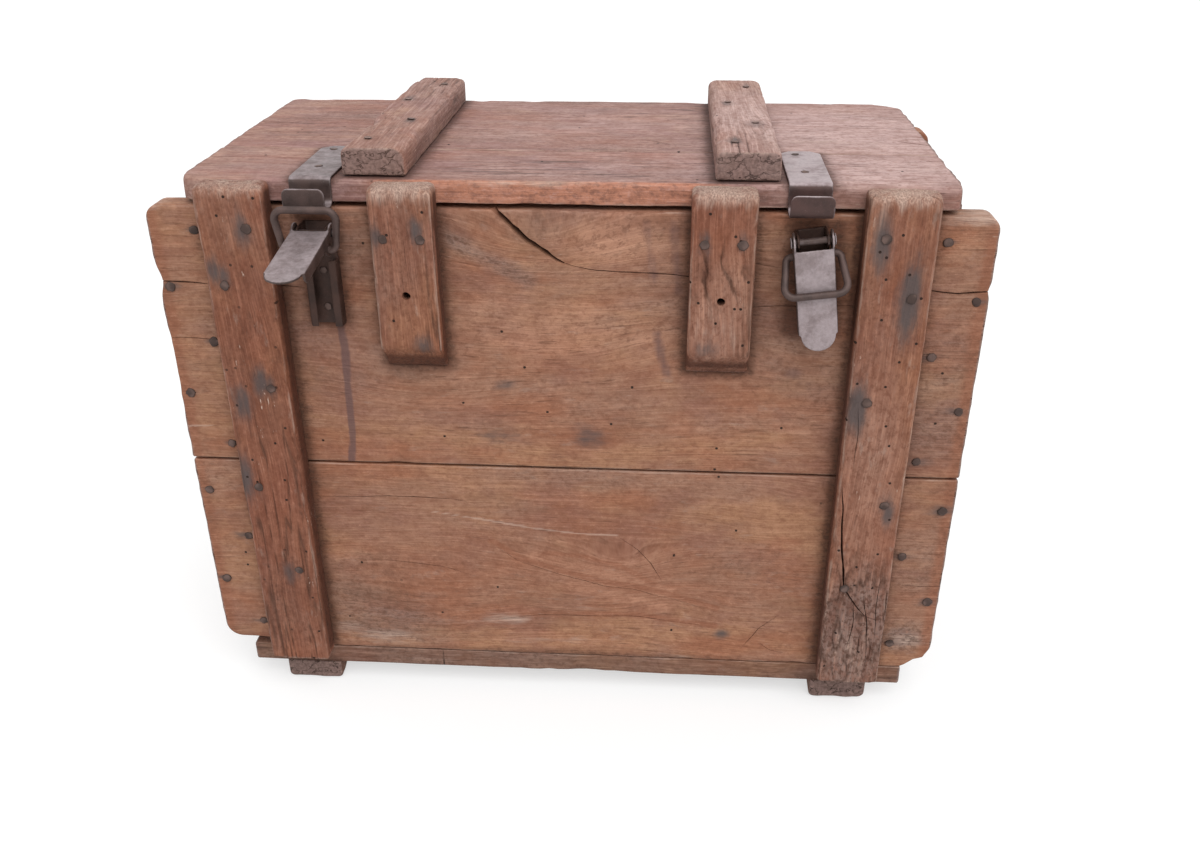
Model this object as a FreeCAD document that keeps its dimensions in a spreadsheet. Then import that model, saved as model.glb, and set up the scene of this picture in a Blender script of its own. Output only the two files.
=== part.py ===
"""A nailed plank trunk with a hinged lid, two toggle latches at the front and skids below.

Frame: X along the trunk, Y from front to back, Z up, millimetres. The trunk stands on Z = 0.
The two latches stand as on an old trunk in use: the left lever is lifted, the right one is closed.
"""
import FreeCAD
import Part
import Sketcher
import math
import os

# Driving dimensions, with the words that explain them in the sheet.
DIMENSIONS = [
    ("trunk_length", 600, "front and back planks, end to end"),
    ("trunk_depth", 272, "outer face of the front planks to outer face of the back planks"),
    ("front_reach", 99, "origin to the outer face of the front planks"),
    ("wall_thickness", 20, "planks and end boards"),
    ("lower_plank_height", 183, "front and back"),
    ("upper_plank_height", 206, "front and back"),
    ("board_gap", 1.5, "dried-out joint between neighbouring boards"),
    ("top_corner_radius", 11, "worn upper corners of the planks"),
    ("low_corner_radius", 14, "worn lower corners of the planks"),
    ("broken_corner", 21, "piece broken off the lower right corner at the front"),
    ("arris", 1.2, "worn long edges of the boards"),
    ("end_inset", 23, "plank ends stand past the end boards by this much"),
    ("end_lower_height", 214, "lower end boards"),
    ("floor_length", 556, "floor boards"),
    ("floor_thickness", 18, "floor boards"),
    ("skid_thickness", 18, "runners under the floor"),
    ("skid_width", 48, "runners under the floor"),
    ("skid_x", 227, "middle of the trunk to the middle of a runner"),
    ("lid_length", 547, "lid planks"),
    ("lid_thickness", 16.5, "lid planks"),
    ("lid_gap", 3, "lid above the front and back planks, as it rests on the end boards"),
    ("lid_clearance", 1, "lid behind the front planks' face"),
    ("lid_front_width", 88, "front plank of the lid"),
    ("lid_corner", 11, "rounded outer corners of the lid"),
    ("lid_back_right_corner", 26, "back right corner of the lid, worn rounder"),
    ("lid_wear", 4, "rounded upper edges of the lid"),
    ("lid_batten_width", 46, "battens on the lid"),
    ("lid_batten_height", 20.5, "battens on the lid"),
    ("lid_batten_setback", 9, "front end behind the front planks' face"),
    ("lid_batten_left", 134, "middle of the trunk to the middle of the left batten"),
    ("lid_batten_right", 127, "middle of the trunk to the middle of the right batten"),
    ("lid_batten_chamfer", 4, "upper long edges"),
    ("batten_width", 50, "upright battens, front and back"),
    ("batten_thickness", 20, "upright battens and blocks"),
    ("batten_chamfer", 5.5, "outer long edges of battens and blocks"),
    ("batten_x", 230.5, "middle of the trunk to the middle of a batten"),
    ("batten_top_wear", 8, "rounded outer top edge of battens and blocks"),
    ("back_batten_drop", 8, "top of the back battens below the back planks' edge"),
    ("block_width", 46, "short lid stops at the front"),
    ("block_height", 139.5, "short lid stops, from their lower edge to the lid's top"),
    ("block_bevel", 21, "slanted lower end of a lid stop"),
    ("block_x", 111, "middle of the trunk to the middle of a lid stop"),
    ("block_hole_drop", 77.5, "drilled hole below the top of a lid stop"),
    ("block_hole_diameter", 6, "empty screw hole in a lid stop"),
    ("block_hole_depth", 15, "empty screw hole in a lid stop"),
    ("cleat_width", 45, "corner cleats, along the trunk's depth"),
    ("cleat_height", 350, "corner cleats"),
    ("hand_cleat_height", 50, "wooden carrying cleat on each end"),
    ("hand_cleat_z", 245, "carrying cleat above the lower edge of the walls"),
    ("finger_depth", 11, "undercut for the fingers, from the end boards outward"),
    ("finger_height", 25, "undercut for the fingers, upward"),
    ("left_hook_x", -177, "left hook plate, from the middle of the trunk"),
    ("right_hook_x", 169, "right hook plate, from the middle of the trunk"),
    ("left_latch_x", -174, "left latch, nailed a little off its hook"),
    ("right_latch_x", 171.5, "right latch, nailed a little off its hook"),
    ("right_latch_tilt", 7.5, "right latch nailed askew, in degrees"),
    ("sheet", 2, "sheet steel of the latches and hinges"),
    ("pivot_out", 15.5, "lever pivot in front of the planks"),
    ("pivot_drop", 14, "lever pivot below the planks' top edge"),
    ("pivot_radius", 2.5, "lever pivot pin"),
    ("base_length", 73, "latch base below the pivot"),
    ("base_width", 24, "latch base across its rails"),
    ("rail_height", 10, "rails of the latch base above the planks"),
    ("rail_lip", 6, "inturned lip of a rail"),
    ("rail_start", 22, "upper end of the rails below the pivot"),
    ("ear_width", 22.4, "latch base across its ears"),
    ("ear_radius", 4.8, "ears of the latch base around the pivot"),
    ("ear_flat", 0.5, "flat left at the top of an ear"),
    ("ear_shoulder", 1.8, "lower end of an ear's outer edge below the pivot"),
    ("ear_foot", 16, "lower end of an ear at the planks, below the pivot"),
    ("pin_play", 0.3, "lever's cheeks to the heads of the pivot pin"),
    ("pin_head_radius", 4, "riveted heads of the pivot pin"),
    ("pin_head_rise", 1.2, "riveted heads of the pivot and hinge pins"),
    ("lever_width", 28, "lever across its cheeks"),
    ("lever_rise", 4.5, "outer face of the lever in front of its pivot, closed"),
    ("lever_window", 5.3, "upper edge of the lever's face below the pivot"),
    ("cheek_length", 67.5, "lower end of the cheeks below the pivot"),
    ("cheek_depth", 9.2, "cheeks behind the lever's outer face, along the handle"),
    ("cheek_radius", 7.4, "rounded upper end of the cheeks"),
    ("cheek_step", 20.5, "upper end of the cheeks' narrow part below the pivot"),
    ("cheek_nose", 3.5, "clipped lower corner of the cheeks"),
    ("tongue_radius", 12.3, "rounded tip of the lever"),
    ("tongue_drop", 0.5, "middle of the tip below the cheeks"),
    ("lever_open", 82, "left lever as it stands, in degrees from closed"),
    ("crank_in", 6.5, "bail pivot behind the lever pivot, closed"),
    ("crank_down", 12, "bail pivot below the lever pivot, closed"),
    ("crank_radius", 5, "cheek around the bail pivot"),
    ("wire_radius", 2.7, "bail wire"),
    ("running_fit", 0.07, "radial clearance of the pivots"),
    ("bail_length", 28.5, "bail pivot to the middle of its bar"),
    ("bail_end", 0.2, "ends of the bail past the cheeks' inner faces"),
    ("bail_foot", 18.4, "middle of the bail to its legs at the pivot"),
    ("bail_head", 22.5, "middle of the bail to its legs at the bar"),
    ("bail_foot_bend", 4, "bend radius at the pivot"),
    ("bail_head_bend", 7, "bend radius at the bar"),
    ("left_bail_lean", 5, "left bail as it stands, in degrees outward from upright"),
    ("right_bail_fold", 150.3, "right bail as it hangs, in degrees outward from upright"),
    ("hook_width", 30, "hook plates on the lid"),
    ("hook_strap", 88, "hook plate along the lid"),
    ("hook_mouth", 16, "inside width of the hook"),
    ("hook_drop", 18.5, "underside of the hook below the lid's top"),
    ("hook_lip_drop", 1.5, "free edge of the hook below the lid's top"),
    ("hook_flat", 6, "flat left between the two bends of the hook's curl"),
    ("hook_bend", 3, "inside bend over the lid's edge"),
    ("hook_clip", 7, "clipped rear corners of a hook plate"),
    ("hook_lip_corner", 5, "rounded corners of the hook's free edge"),
    ("hinge_x", 175, "middle of the trunk to the middle of a hinge"),
    ("hinge_length", 60, "hinge leaves"),
    ("hinge_out", 5, "hinge axis behind the back planks' face"),
    ("knuckle_radius", 4.2, "hinge knuckles"),
    ("knuckle_length", 19.6, "middle knuckle"),
    ("knuckle_play", 0.4, "between neighbouring knuckles"),
    ("hinge_pin_radius", 2, "hinge pin"),
    ("hinge_pin_head", 3, "riveted heads of the hinge pin, in radius"),
    ("leaf_edge", 1, "hinge leaves to the hinge axis, and to the other leaf's knuckles"),
    ("body_leaf_height", 38, "lower hinge leaf, below the axis"),
    ("lid_leaf_height", 15.5, "upper hinge leaf, above the axis"),
    ("nail_head", 8.4, "nail head across its corners"),
    ("nail_rise", 1.5, "nail head above the wood"),
    ("nail_shank", 3, "square nail shank"),
    ("wall_nail", 42, "nails through the front and back planks, below the head"),
    ("batten_nail", 38, "nails through battens, blocks and cleats, below the head"),
    ("lid_nail", 33, "nails through the lid's battens, below the head"),
    ("floor_nail", 40, "nails up through the floor into the planks, below the head"),
    ("skid_nail", 31, "nails down through the floor into the skids, below the head"),
    ("fitting_nail", 16, "nails and screws of the fittings, below the head"),
    ("fitting_head", 7, "heads of the hook and latch nails"),
    ("screw_head", 6.4, "heads of the hinge screws"),
    ("nail_first", 25, "lowest end nail above the planks' lower edge"),
    ("nail_pitch", 43.4, "height between neighbouring end nails"),
    ("nail_edge", 9, "outer row of end nails from the plank's end"),
    ("nail_row", 34.5, "inner row of end nails from the plank's end"),
    ("batten_nail_offset", 11, "batten nails either side of the batten's middle"),
    ("block_nail_offset", 13, "block nails either side of the block's middle"),
    ("block_nail_drop", 36, "block nails below the top of the block"),
    ("lid_nail_offset", 9, "lid batten nails either side of the batten's middle"),
    ("floor_nail_edge", 10, "floor nails from the trunk's front and back"),
    ("skid_nail_offset", 17, "skid nails either side of a floor board's middle"),
]

doc = FreeCAD.newDocument("trunk")
sheet = doc.addObject("Spreadsheet::Sheet", "Size")
for row, (alias, number, words) in enumerate(DIMENSIONS, start=1):
    sheet.set(f"A{row}", words)
    sheet.set(f"B{row}", str(number))
    sheet.setAlias(f"B{row}", alias)
doc.recompute()

# Levels and faces that several pieces share, as expressions on the sheet.
WALL_BOTTOM = "(Size.skid_thickness + Size.floor_thickness)"
WALL_HEIGHT = "(Size.lower_plank_height + Size.board_gap + Size.upper_plank_height)"
WALL_TOP = f"({WALL_BOTTOM} + {WALL_HEIGHT})"
LID_BOTTOM = f"({WALL_TOP} + Size.lid_gap)"
LID_TOP = f"({LID_BOTTOM} + Size.lid_thickness)"
FRONT = "(-1 * Size.front_reach)"
BACK = f"({FRONT} + Size.trunk_depth)"
INNER_DEPTH = "(Size.trunk_depth - 2 * Size.wall_thickness)"
END_FACE = "(Size.trunk_length / 2 - Size.end_inset)"
PIVOT_Y = f"({FRONT} - Size.pivot_out)"
PIVOT_Z = f"({WALL_TOP} - Size.pivot_drop)"
HINGE_Y = f"({BACK} + Size.hinge_out)"
HINGE_Z = f"({WALL_TOP} + Size.lid_gap / 2)"

SIDES = (("left", -1), ("right", 1))
X_AXIS = FreeCAD.Vector(1, 0, 0)
Y_AXIS = FreeCAD.Vector(0, 1, 0)
Z_AXIS = FreeCAD.Vector(0, 0, 1)
TOUCH = 1e-4

# Where the fasteners stand, in millimetres: heights count from the walls' lower edge, lid places
# from the front planks' face, hook and screw places from the middle of their fitting.
HEAD_SIDES = 8
HEAD_CROWN = 0.62
END_NAILS = 9
FRONT_BATTEN_NAILS = (93, 171, 257, 338, 380)
BACK_BATTEN_NAILS = (60, 140, 215, 290, 355)
CLEAT_NAILS = (60, 185, 310)
GRIP_NAILS = (-50, 0, 50)
FLOOR_NAILS = (-160, -96, -32, 32, 96, 160)
LID_BATTEN_NAILS = (38, 100, 172, 236)
HOOK_NAILS = ((-1.5, 29), (-4, 78))
LATCH_NAILS = (32, 60)
BODY_LEAF_SCREWS = ((-21, -13), (21, -13), (0, -28))
LID_LEAF_SCREWS = ((-21, 10.2), (21, 10.2))

pieces = []


def size(expression):
    """The number that an expression on the sheet stands for."""
    return float(sheet.evalExpression(expression))


def new_body(label, x="0", y="0", z="0"):
    """An empty sub-part whose origin stands at the given place."""
    body = doc.addObject("PartDesign::Body", label)
    body.Label = label
    for axis, place in zip("xyz", (x, y, z)):
        body.setExpression(f"Placement.Base.{axis}", place)
    pieces.append(body)
    return body


def sketch_on(body, name, role, start):
    """A sketch parallel to one of the body's planes, moved along the plane's axis to start."""
    sketch = body.newObject("Sketcher::SketchObject", name)
    plane = next(item for item in body.Origin.OriginFeatures if item.Role == role)
    sketch.AttachmentSupport = (plane, [""])
    sketch.MapMode = "FlatFace"
    # The XZ plane faces towards -Y, so its offset counts the other way.
    offset = f"-1 * ({start})" if role == "XZ_Plane" else start
    sketch.setExpression("AttachmentOffset.Base.z", offset)
    return sketch


def hold_point(sketch, geometry, end, place):
    """Ties one end of a sketch element to a place given by two expressions."""
    for kind, axis_line, expression in (("DistanceX", -2, place[0]), ("DistanceY", -1, place[1])):
        if expression == "0":
            sketch.addConstraint(Sketcher.Constraint("PointOnObject", geometry, end, axis_line))
            continue
        index = sketch.addConstraint(
            Sketcher.Constraint(kind, -1, 1, geometry, end, size(expression)))
        sketch.setExpression(f"Constraints[{index}]", expression)


def draw_outline(sketch, corners):
    """A closed outline of straight lines through corners given as pairs of expressions."""
    points = [FreeCAD.Vector(size(u), size(v), 0) for u, v in corners]
    count = len(points)
    for index in range(count):
        sketch.addGeometry(Part.LineSegment(points[index], points[(index + 1) % count]))
    for index in range(count):
        sketch.addConstraint(Sketcher.Constraint("Coincident", index, 2, (index + 1) % count, 1))
    for index, corner in enumerate(corners):
        hold_point(sketch, index, 1, corner)


def draw_circle(sketch, centre, radius):
    """A circle whose centre and radius are expressions."""
    middle = FreeCAD.Vector(size(centre[0]), size(centre[1]), 0)
    index = sketch.addGeometry(Part.Circle(middle, Z_AXIS, size(radius)))
    hold_point(sketch, index, 3, centre)
    constraint = sketch.addConstraint(Sketcher.Constraint("Radius", index, size(radius)))
    sketch.setExpression(f"Constraints[{constraint}]", radius)


def extrude(body, name, role, start, length, corners=None, circle=None, cut=False):
    """Pads an outline or a circle, or cuts it away, from start along the plane's axis."""
    sketch = sketch_on(body, name + "_sketch", role, start)
    if corners:
        draw_outline(sketch, corners)
    else:
        draw_circle(sketch, circle[:2], circle[2])
    feature = body.newObject("PartDesign::Pocket" if cut else "PartDesign::Pad", name)
    feature.Profile = sketch
    feature.setExpression("Length", length)
    feature.Reversed = (role == "XZ_Plane") != cut
    return feature


def dress(body, kind, name, amount, wanted):
    """Rounds (Fillet) or bevels (Chamfer) the edges of the last feature that wanted() picks."""
    doc.recompute()
    base = body.Tip
    names = [f"Edge{index}" for index, edge in enumerate(base.Shape.Edges, start=1) if wanted(edge)]
    if not names:
        raise RuntimeError(f"{body.Label}: no edges for {name}")
    feature = body.newObject("PartDesign::" + kind, name)
    feature.Base = (base, names)
    feature.setExpression("Radius" if kind == "Fillet" else "Size", amount)
    return feature


def runs_along(edge, axis):
    """True for a straight edge parallel to an axis."""
    if not isinstance(edge.Curve, Part.Line):
        return False
    return abs(abs(edge.Curve.Direction.dot(axis)) - 1) < TOUCH


def passes(edge, **place):
    """True for an edge whose middle has the given coordinates."""
    middle = edge.CenterOfMass
    return all(abs(getattr(middle, axis) - value) < TOUCH for axis, value in place.items())


def rectangle(low_u, high_u, low_v, high_v):
    return [(low_u, low_v), (high_u, low_v), (high_u, high_v), (low_u, high_v)]


def board(label, length, width, height, x, y, z, grain=X_AXIS):
    """A sawn board: x, y, z is the corner with the lowest values, grain the way of its long edges."""
    body = new_body(label, x, y, z)
    extrude(body, label + "_blank", "XY_Plane", "0", height, rectangle("0", length, "0", width))
    dress(body, "Chamfer", label + "_arris", "Size.arris", lambda edge: runs_along(edge, grain))
    return body


def wall_plank(label, y, z, height, upper, broken=False):
    """A front or back plank, with its outer corners worn round and one of them broken off."""
    half = "Size.trunk_length / 2"
    corners = rectangle(f"-1 * {half}", half, "0", height)
    if broken:
        corners[1:2] = [
            (f"{half} - Size.broken_corner", "0"),
            (f"{half} - Size.broken_corner * 0.75", "Size.broken_corner * 0.35"),
            (f"{half} - Size.broken_corner * 0.25", "Size.broken_corner * 0.5"),
            (half, "Size.broken_corner"),
        ]
    body = new_body(label, "0", y, z)
    extrude(body, label + "_blank", "XZ_Plane", "0", "Size.wall_thickness", corners)
    worn_z = size(height) if upper else 0
    ends = [size(half), -size(half)]
    radius = "Size.top_corner_radius" if upper else "Size.low_corner_radius"
    dress(body, "Fillet", label + "_corners", radius,
          lambda edge: runs_along(edge, Y_AXIS) and any(passes(edge, x=end, z=worn_z) for end in ends))
    joint_z = 0 if upper else size(height)
    dress(body, "Chamfer", label + "_arris", "Size.arris",
          lambda edge: runs_along(edge, X_AXIS) and passes(edge, z=joint_z))
    return body


def make_walls():
    upper_z = f"{WALL_BOTTOM} + Size.lower_plank_height + Size.board_gap"
    for wall, y in (("front", FRONT), ("back", f"{BACK} - Size.wall_thickness")):
        wall_plank(f"{wall}_lower_plank", y, WALL_BOTTOM, "Size.lower_plank_height", False, wall == "front")
        wall_plank(f"{wall}_upper_plank", y, upper_z, "Size.upper_plank_height", True)
    end_upper_height = f"{LID_BOTTOM} - {WALL_BOTTOM} - Size.end_lower_height - Size.board_gap"
    end_upper_z = f"{WALL_BOTTOM} + Size.end_lower_height + Size.board_gap"
    for side, sign in SIDES:
        x = f"-1 * {END_FACE}" if sign < 0 else f"{END_FACE} - Size.wall_thickness"
        y = f"{FRONT} + Size.wall_thickness"
        board(f"{side}_end_lower_board", "Size.wall_thickness", INNER_DEPTH, "Size.end_lower_height",
              x, y, WALL_BOTTOM, Y_AXIS)
        board(f"{side}_end_upper_board", "Size.wall_thickness", INNER_DEPTH, end_upper_height,
              x, y, end_upper_z, Y_AXIS)


def make_floor():
    width = "(Size.trunk_depth - 2 * Size.board_gap) / 3"
    for index, name in enumerate(("front", "middle", "back")):
        board(f"floor_{name}_board", "Size.floor_length", width, "Size.floor_thickness",
              "-1 * Size.floor_length / 2", f"{FRONT} + {index} * ({width} + Size.board_gap)",
              "Size.skid_thickness")
    for side, sign in SIDES:
        board(f"{side}_skid", "Size.skid_width", "Size.trunk_depth", "Size.skid_thickness",
              f"{sign} * Size.skid_x - Size.skid_width / 2", FRONT, "0", Y_AXIS)


def make_end_cleats():
    """Upright cleats in the corners behind the plank ends, and a carrying cleat between them."""
    span = f"({INNER_DEPTH} - 2 * Size.cleat_width - 2 * Size.board_gap)"
    for side, sign in SIDES:
        x = "-1 * Size.trunk_length / 2" if sign < 0 else END_FACE
        for corner, y in (("front", f"{FRONT} + Size.wall_thickness"),
                          ("back", f"{BACK} - Size.wall_thickness - Size.cleat_width")):
            board(f"{side}_{corner}_corner_cleat", "Size.end_inset", "Size.cleat_width",
                  "Size.cleat_height", x, y, WALL_BOTTOM, Z_AXIS)
        label = f"{side}_hand_cleat"
        body = new_body(label, f"{sign} * {END_FACE}",
                        f"{FRONT} + Size.wall_thickness + Size.cleat_width + Size.board_gap",
                        f"{WALL_BOTTOM} + Size.hand_cleat_z")
        outer = f"{sign} * Size.end_inset"
        relieved = f"{sign} * Size.finger_depth"
        extrude(body, label + "_blank", "XZ_Plane", "0", span,
                [(relieved, "0"), (outer, "0"), (outer, "Size.hand_cleat_height"),
                 ("0", "Size.hand_cleat_height"), ("0", "Size.finger_height"),
                 (relieved, "Size.finger_height")])
        dress(body, "Fillet", label + "_grip", "Size.arris * 3",
              lambda edge: runs_along(edge, Y_AXIS) and passes(edge, x=size(outer)))


def upright(label, width, height, x, y, z, facing, bevel="0"):
    """A batten or block on a wall: worn round at its outer top edge, bevelled along its sides."""
    body = new_body(label, x, y, z)
    outer = f"{facing} * Size.batten_thickness"
    corners = [("0", "0"), (outer, bevel), (outer, height), ("0", height)]
    extrude(body, label + "_blank", "YZ_Plane", f"-1 * {width} / 2", width, corners)
    face_y = size(outer)
    dress(body, "Fillet", label + "_top", "Size.batten_top_wear",
          lambda edge: runs_along(edge, X_AXIS) and passes(edge, y=face_y, z=size(height)))
    dress(body, "Chamfer", label + "_sides", "Size.batten_chamfer",
          lambda edge: runs_along(edge, Z_AXIS) and passes(edge, y=face_y))
    return body


def make_uprights():
    front_height = f"({LID_TOP} - Size.skid_thickness)"
    back_height = f"({WALL_TOP} - Size.back_batten_drop - Size.skid_thickness)"
    for side, sign in SIDES:
        x = f"{sign} * Size.batten_x"
        for wall, height, y, facing in (("front", front_height, FRONT, -1), ("back", back_height, BACK, 1)):
            upright(f"{side}_{wall}_batten", "Size.batten_width", height, x, y, "Size.skid_thickness", facing)
        block = upright(f"{side}_front_block", "Size.block_width", "Size.block_height",
                        f"{sign} * Size.block_x", FRONT, f"{LID_TOP} - Size.block_height", -1,
                        "Size.block_bevel")
        hole = ("0", "Size.block_height - Size.block_hole_drop", "Size.block_hole_diameter / 2")
        extrude(block, f"{side}_block_hole", "XZ_Plane", "-1 * Size.batten_thickness",
                "Size.block_hole_depth", circle=hole, cut=True)


def make_lid():
    front_y = f"({FRONT} + Size.lid_clearance)"
    back_y = f"({front_y} + Size.lid_front_width + Size.board_gap)"
    half = size("Size.lid_length / 2")
    top = size("Size.lid_thickness")
    for label, y, width, worn_y in (
            ("lid_front_plank", front_y, "Size.lid_front_width", 0),
            ("lid_back_plank", back_y, f"({BACK} - {back_y})", size(f"{BACK} - {back_y}"))):
        body = new_body(label, "0", y, LID_BOTTOM)
        extrude(body, label + "_blank", "XY_Plane", "0", "Size.lid_thickness",
                rectangle("-1 * Size.lid_length / 2", "Size.lid_length / 2", "0", width))
        worn_right = "Size.lid_corner" if worn_y == 0 else "Size.lid_back_right_corner"
        for side, corner_x, radius in (("left", -half, "Size.lid_corner"), ("right", half, worn_right)):
            dress(body, "Fillet", f"{label}_{side}_corner", radius,
                  lambda edge: runs_along(edge, Z_AXIS) and passes(edge, x=corner_x, y=worn_y))
        dress(body, "Fillet", label + "_wear", "Size.lid_wear",
              lambda edge: abs(edge.CenterOfMass.z - top) < TOUCH
              and (passes(edge, y=worn_y) or abs(abs(edge.CenterOfMass.x) - half) < TOUCH))
    length = "(Size.trunk_depth - Size.lid_batten_setback)"
    for side, x in (("left", "-1 * Size.lid_batten_left"), ("right", "Size.lid_batten_right")):
        label = f"{side}_lid_batten"
        body = new_body(label, x, f"{FRONT} + Size.lid_batten_setback", LID_TOP)
        extrude(body, label + "_blank", "XY_Plane", "0", "Size.lid_batten_height",
                rectangle("-1 * Size.lid_batten_width / 2", "Size.lid_batten_width / 2", "0", length))
        top_z = size("Size.lid_batten_height")
        dress(body, "Chamfer", label + "_sides", "Size.lid_batten_chamfer",
              lambda edge: runs_along(edge, Y_AXIS) and passes(edge, z=top_z))


def make_hooks():
    """Hook plates: a strap on the lid, bent down over its edge and curled out and up to a lip."""
    inner = "Size.sheet + Size.hook_mouth"
    outer = f"{inner} + Size.sheet"
    floor = "Size.sheet - Size.hook_drop"
    corners = [
        ("Size.hook_strap", "0"), ("Size.hook_strap", "Size.sheet"),
        ("-1 * Size.sheet", "Size.sheet"), ("-1 * Size.sheet", floor),
        (f"-1 * ({inner})", floor), (f"-1 * ({inner})", "-1 * Size.hook_lip_drop"),
        (f"-1 * ({outer})", "-1 * Size.hook_lip_drop"), (f"-1 * ({outer})", "-1 * Size.hook_drop"),
        ("0", "-1 * Size.hook_drop"), ("0", "0"),
    ]
    lip_y = -size(f"{inner} + Size.sheet / 2")
    lip_z = -size("Size.hook_lip_drop")
    curl = "(Size.hook_mouth - Size.hook_flat) / 2"
    drop = size("Size.hook_drop")
    bends = [
        ("bend_in", "Size.hook_bend", [(0, 0)]),
        ("bend_out", "Size.hook_bend + Size.sheet", [(-size("Size.sheet"), size("Size.sheet"))]),
        ("curl_in", curl, [(-size("Size.sheet"), size(floor)), (-size(inner), size(floor))]),
        ("curl_out", f"{curl} + Size.sheet", [(0, -drop), (-size(outer), -drop)]),
    ]
    for side, _ in SIDES:
        label = f"{side}_hook_plate"
        body = new_body(label, f"Size.{side}_hook_x", f"{FRONT} + Size.lid_clearance", LID_TOP)
        extrude(body, label + "_strip", "YZ_Plane", "-1 * Size.hook_width / 2", "Size.hook_width", corners)
        for name, radius, places in bends:
            dress(body, "Fillet", f"{label}_{name}", radius,
                  lambda edge: runs_along(edge, X_AXIS) and any(passes(edge, y=y, z=z) for y, z in places))
        dress(body, "Fillet", label + "_lip", "Size.hook_lip_corner",
              lambda edge: runs_along(edge, Y_AXIS) and passes(edge, y=lip_y, z=lip_z))
        strap_end = size("Size.hook_strap")
        dress(body, "Chamfer", label + "_clip", "Size.hook_clip",
              lambda edge: runs_along(edge, Z_AXIS) and passes(edge, y=strap_end))


def make_latch_base(side, x):
    """A channel on the planks: a web, two rails with inturned lips and two ears for the pivot.

    Its origin is on the pivot, so the planks' face is at y = pivot_out.
    """
    label = f"{side}_latch_base"
    body = new_body(label, x, PIVOT_Y, PIVOT_Z)
    web = "(Size.pivot_out - Size.sheet)"
    ear = "Size.ear_width / 2"
    rail = "Size.base_width / 2"
    neck = "-1 * Size.rail_start"
    neck_top = "Size.sheet - Size.rail_start"
    foot = "-1 * Size.base_length"
    extrude(body, label + "_web", "XZ_Plane", web, "Size.sheet", [
        (f"-1 * {rail}", foot), (rail, foot), (rail, neck), (ear, neck_top), (ear, "Size.ear_radius"),
        (f"-1 * {ear}", "Size.ear_radius"), (f"-1 * {ear}", neck_top), (f"-1 * {rail}", neck)])
    lip = "(Size.pivot_out - Size.rail_height)"
    for name, sign in SIDES:
        rail_corners = [
            (f"{sign} * {rail}", "Size.pivot_out"), (f"{sign} * {rail}", lip),
            (f"{sign} * ({rail} - Size.rail_lip)", lip),
            (f"{sign} * ({rail} - Size.rail_lip)", f"{lip} + Size.sheet"),
            (f"{sign} * ({rail} - Size.sheet)", f"{lip} + Size.sheet"),
            (f"{sign} * ({rail} - Size.sheet)", "Size.pivot_out"),
        ]
        extrude(body, f"{label}_{name}_rail", "XY_Plane", foot, "Size.base_length - Size.rail_start",
                rail_corners)
        start = f"{ear} - Size.sheet" if sign > 0 else f"-1 * {ear}"
        extrude(body, f"{label}_{name}_ear", "YZ_Plane", start, "Size.sheet", [
            ("Size.pivot_out", "-1 * Size.ear_foot"), ("-1 * Size.ear_radius", "-1 * Size.ear_shoulder"),
            ("-1 * Size.ear_radius", "Size.ear_radius"), ("Size.pivot_out", "Size.ear_radius")])
    lip_y = size(lip)
    rail_x = size(rail)
    dress(body, "Fillet", label + "_rail_bends", "Size.sheet * 0.9",
          lambda edge: runs_along(edge, Z_AXIS) and passes(edge, y=lip_y)
          and abs(abs(edge.CenterOfMass.x) - rail_x) < TOUCH)
    ear_y = -size("Size.ear_radius")
    dress(body, "Fillet", label + "_ear_tops", "Size.ear_radius - Size.ear_flat",
          lambda edge: runs_along(edge, X_AXIS) and passes(edge, y=ear_y, z=-ear_y))
    extrude(body, label + "_pivot_hole", "YZ_Plane", f"-1 * {ear}", "Size.ear_width",
            circle=("0", "0", "Size.pivot_radius"), cut=True)
    return body


def make_latch_pin(side, x):
    """The lever's pivot: a pin with a riveted head outside each cheek."""
    label = f"{side}_latch_pin"
    body = new_body(label, x, PIVOT_Y, PIVOT_Z)
    reach = "(Size.lever_width / 2 + Size.pin_play)"
    extrude(body, label + "_shank", "YZ_Plane", f"-1 * {reach}", f"2 * {reach}",
            circle=("0", "0", "Size.pivot_radius"))
    for name, start in (("left", f"-1 * {reach} - Size.pin_head_rise"), ("right", reach)):
        extrude(body, f"{label}_{name}_head", "YZ_Plane", start, "Size.pin_head_rise",
                circle=("0", "0", "Size.pin_head_radius"))
    head_x = size(f"{reach} + Size.pin_head_rise")
    dress(body, "Chamfer", label + "_head_edges", "Size.pin_head_rise / 2",
          lambda edge: abs(abs(edge.CenterOfMass.x) - head_x) < TOUCH)
    return body


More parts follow.
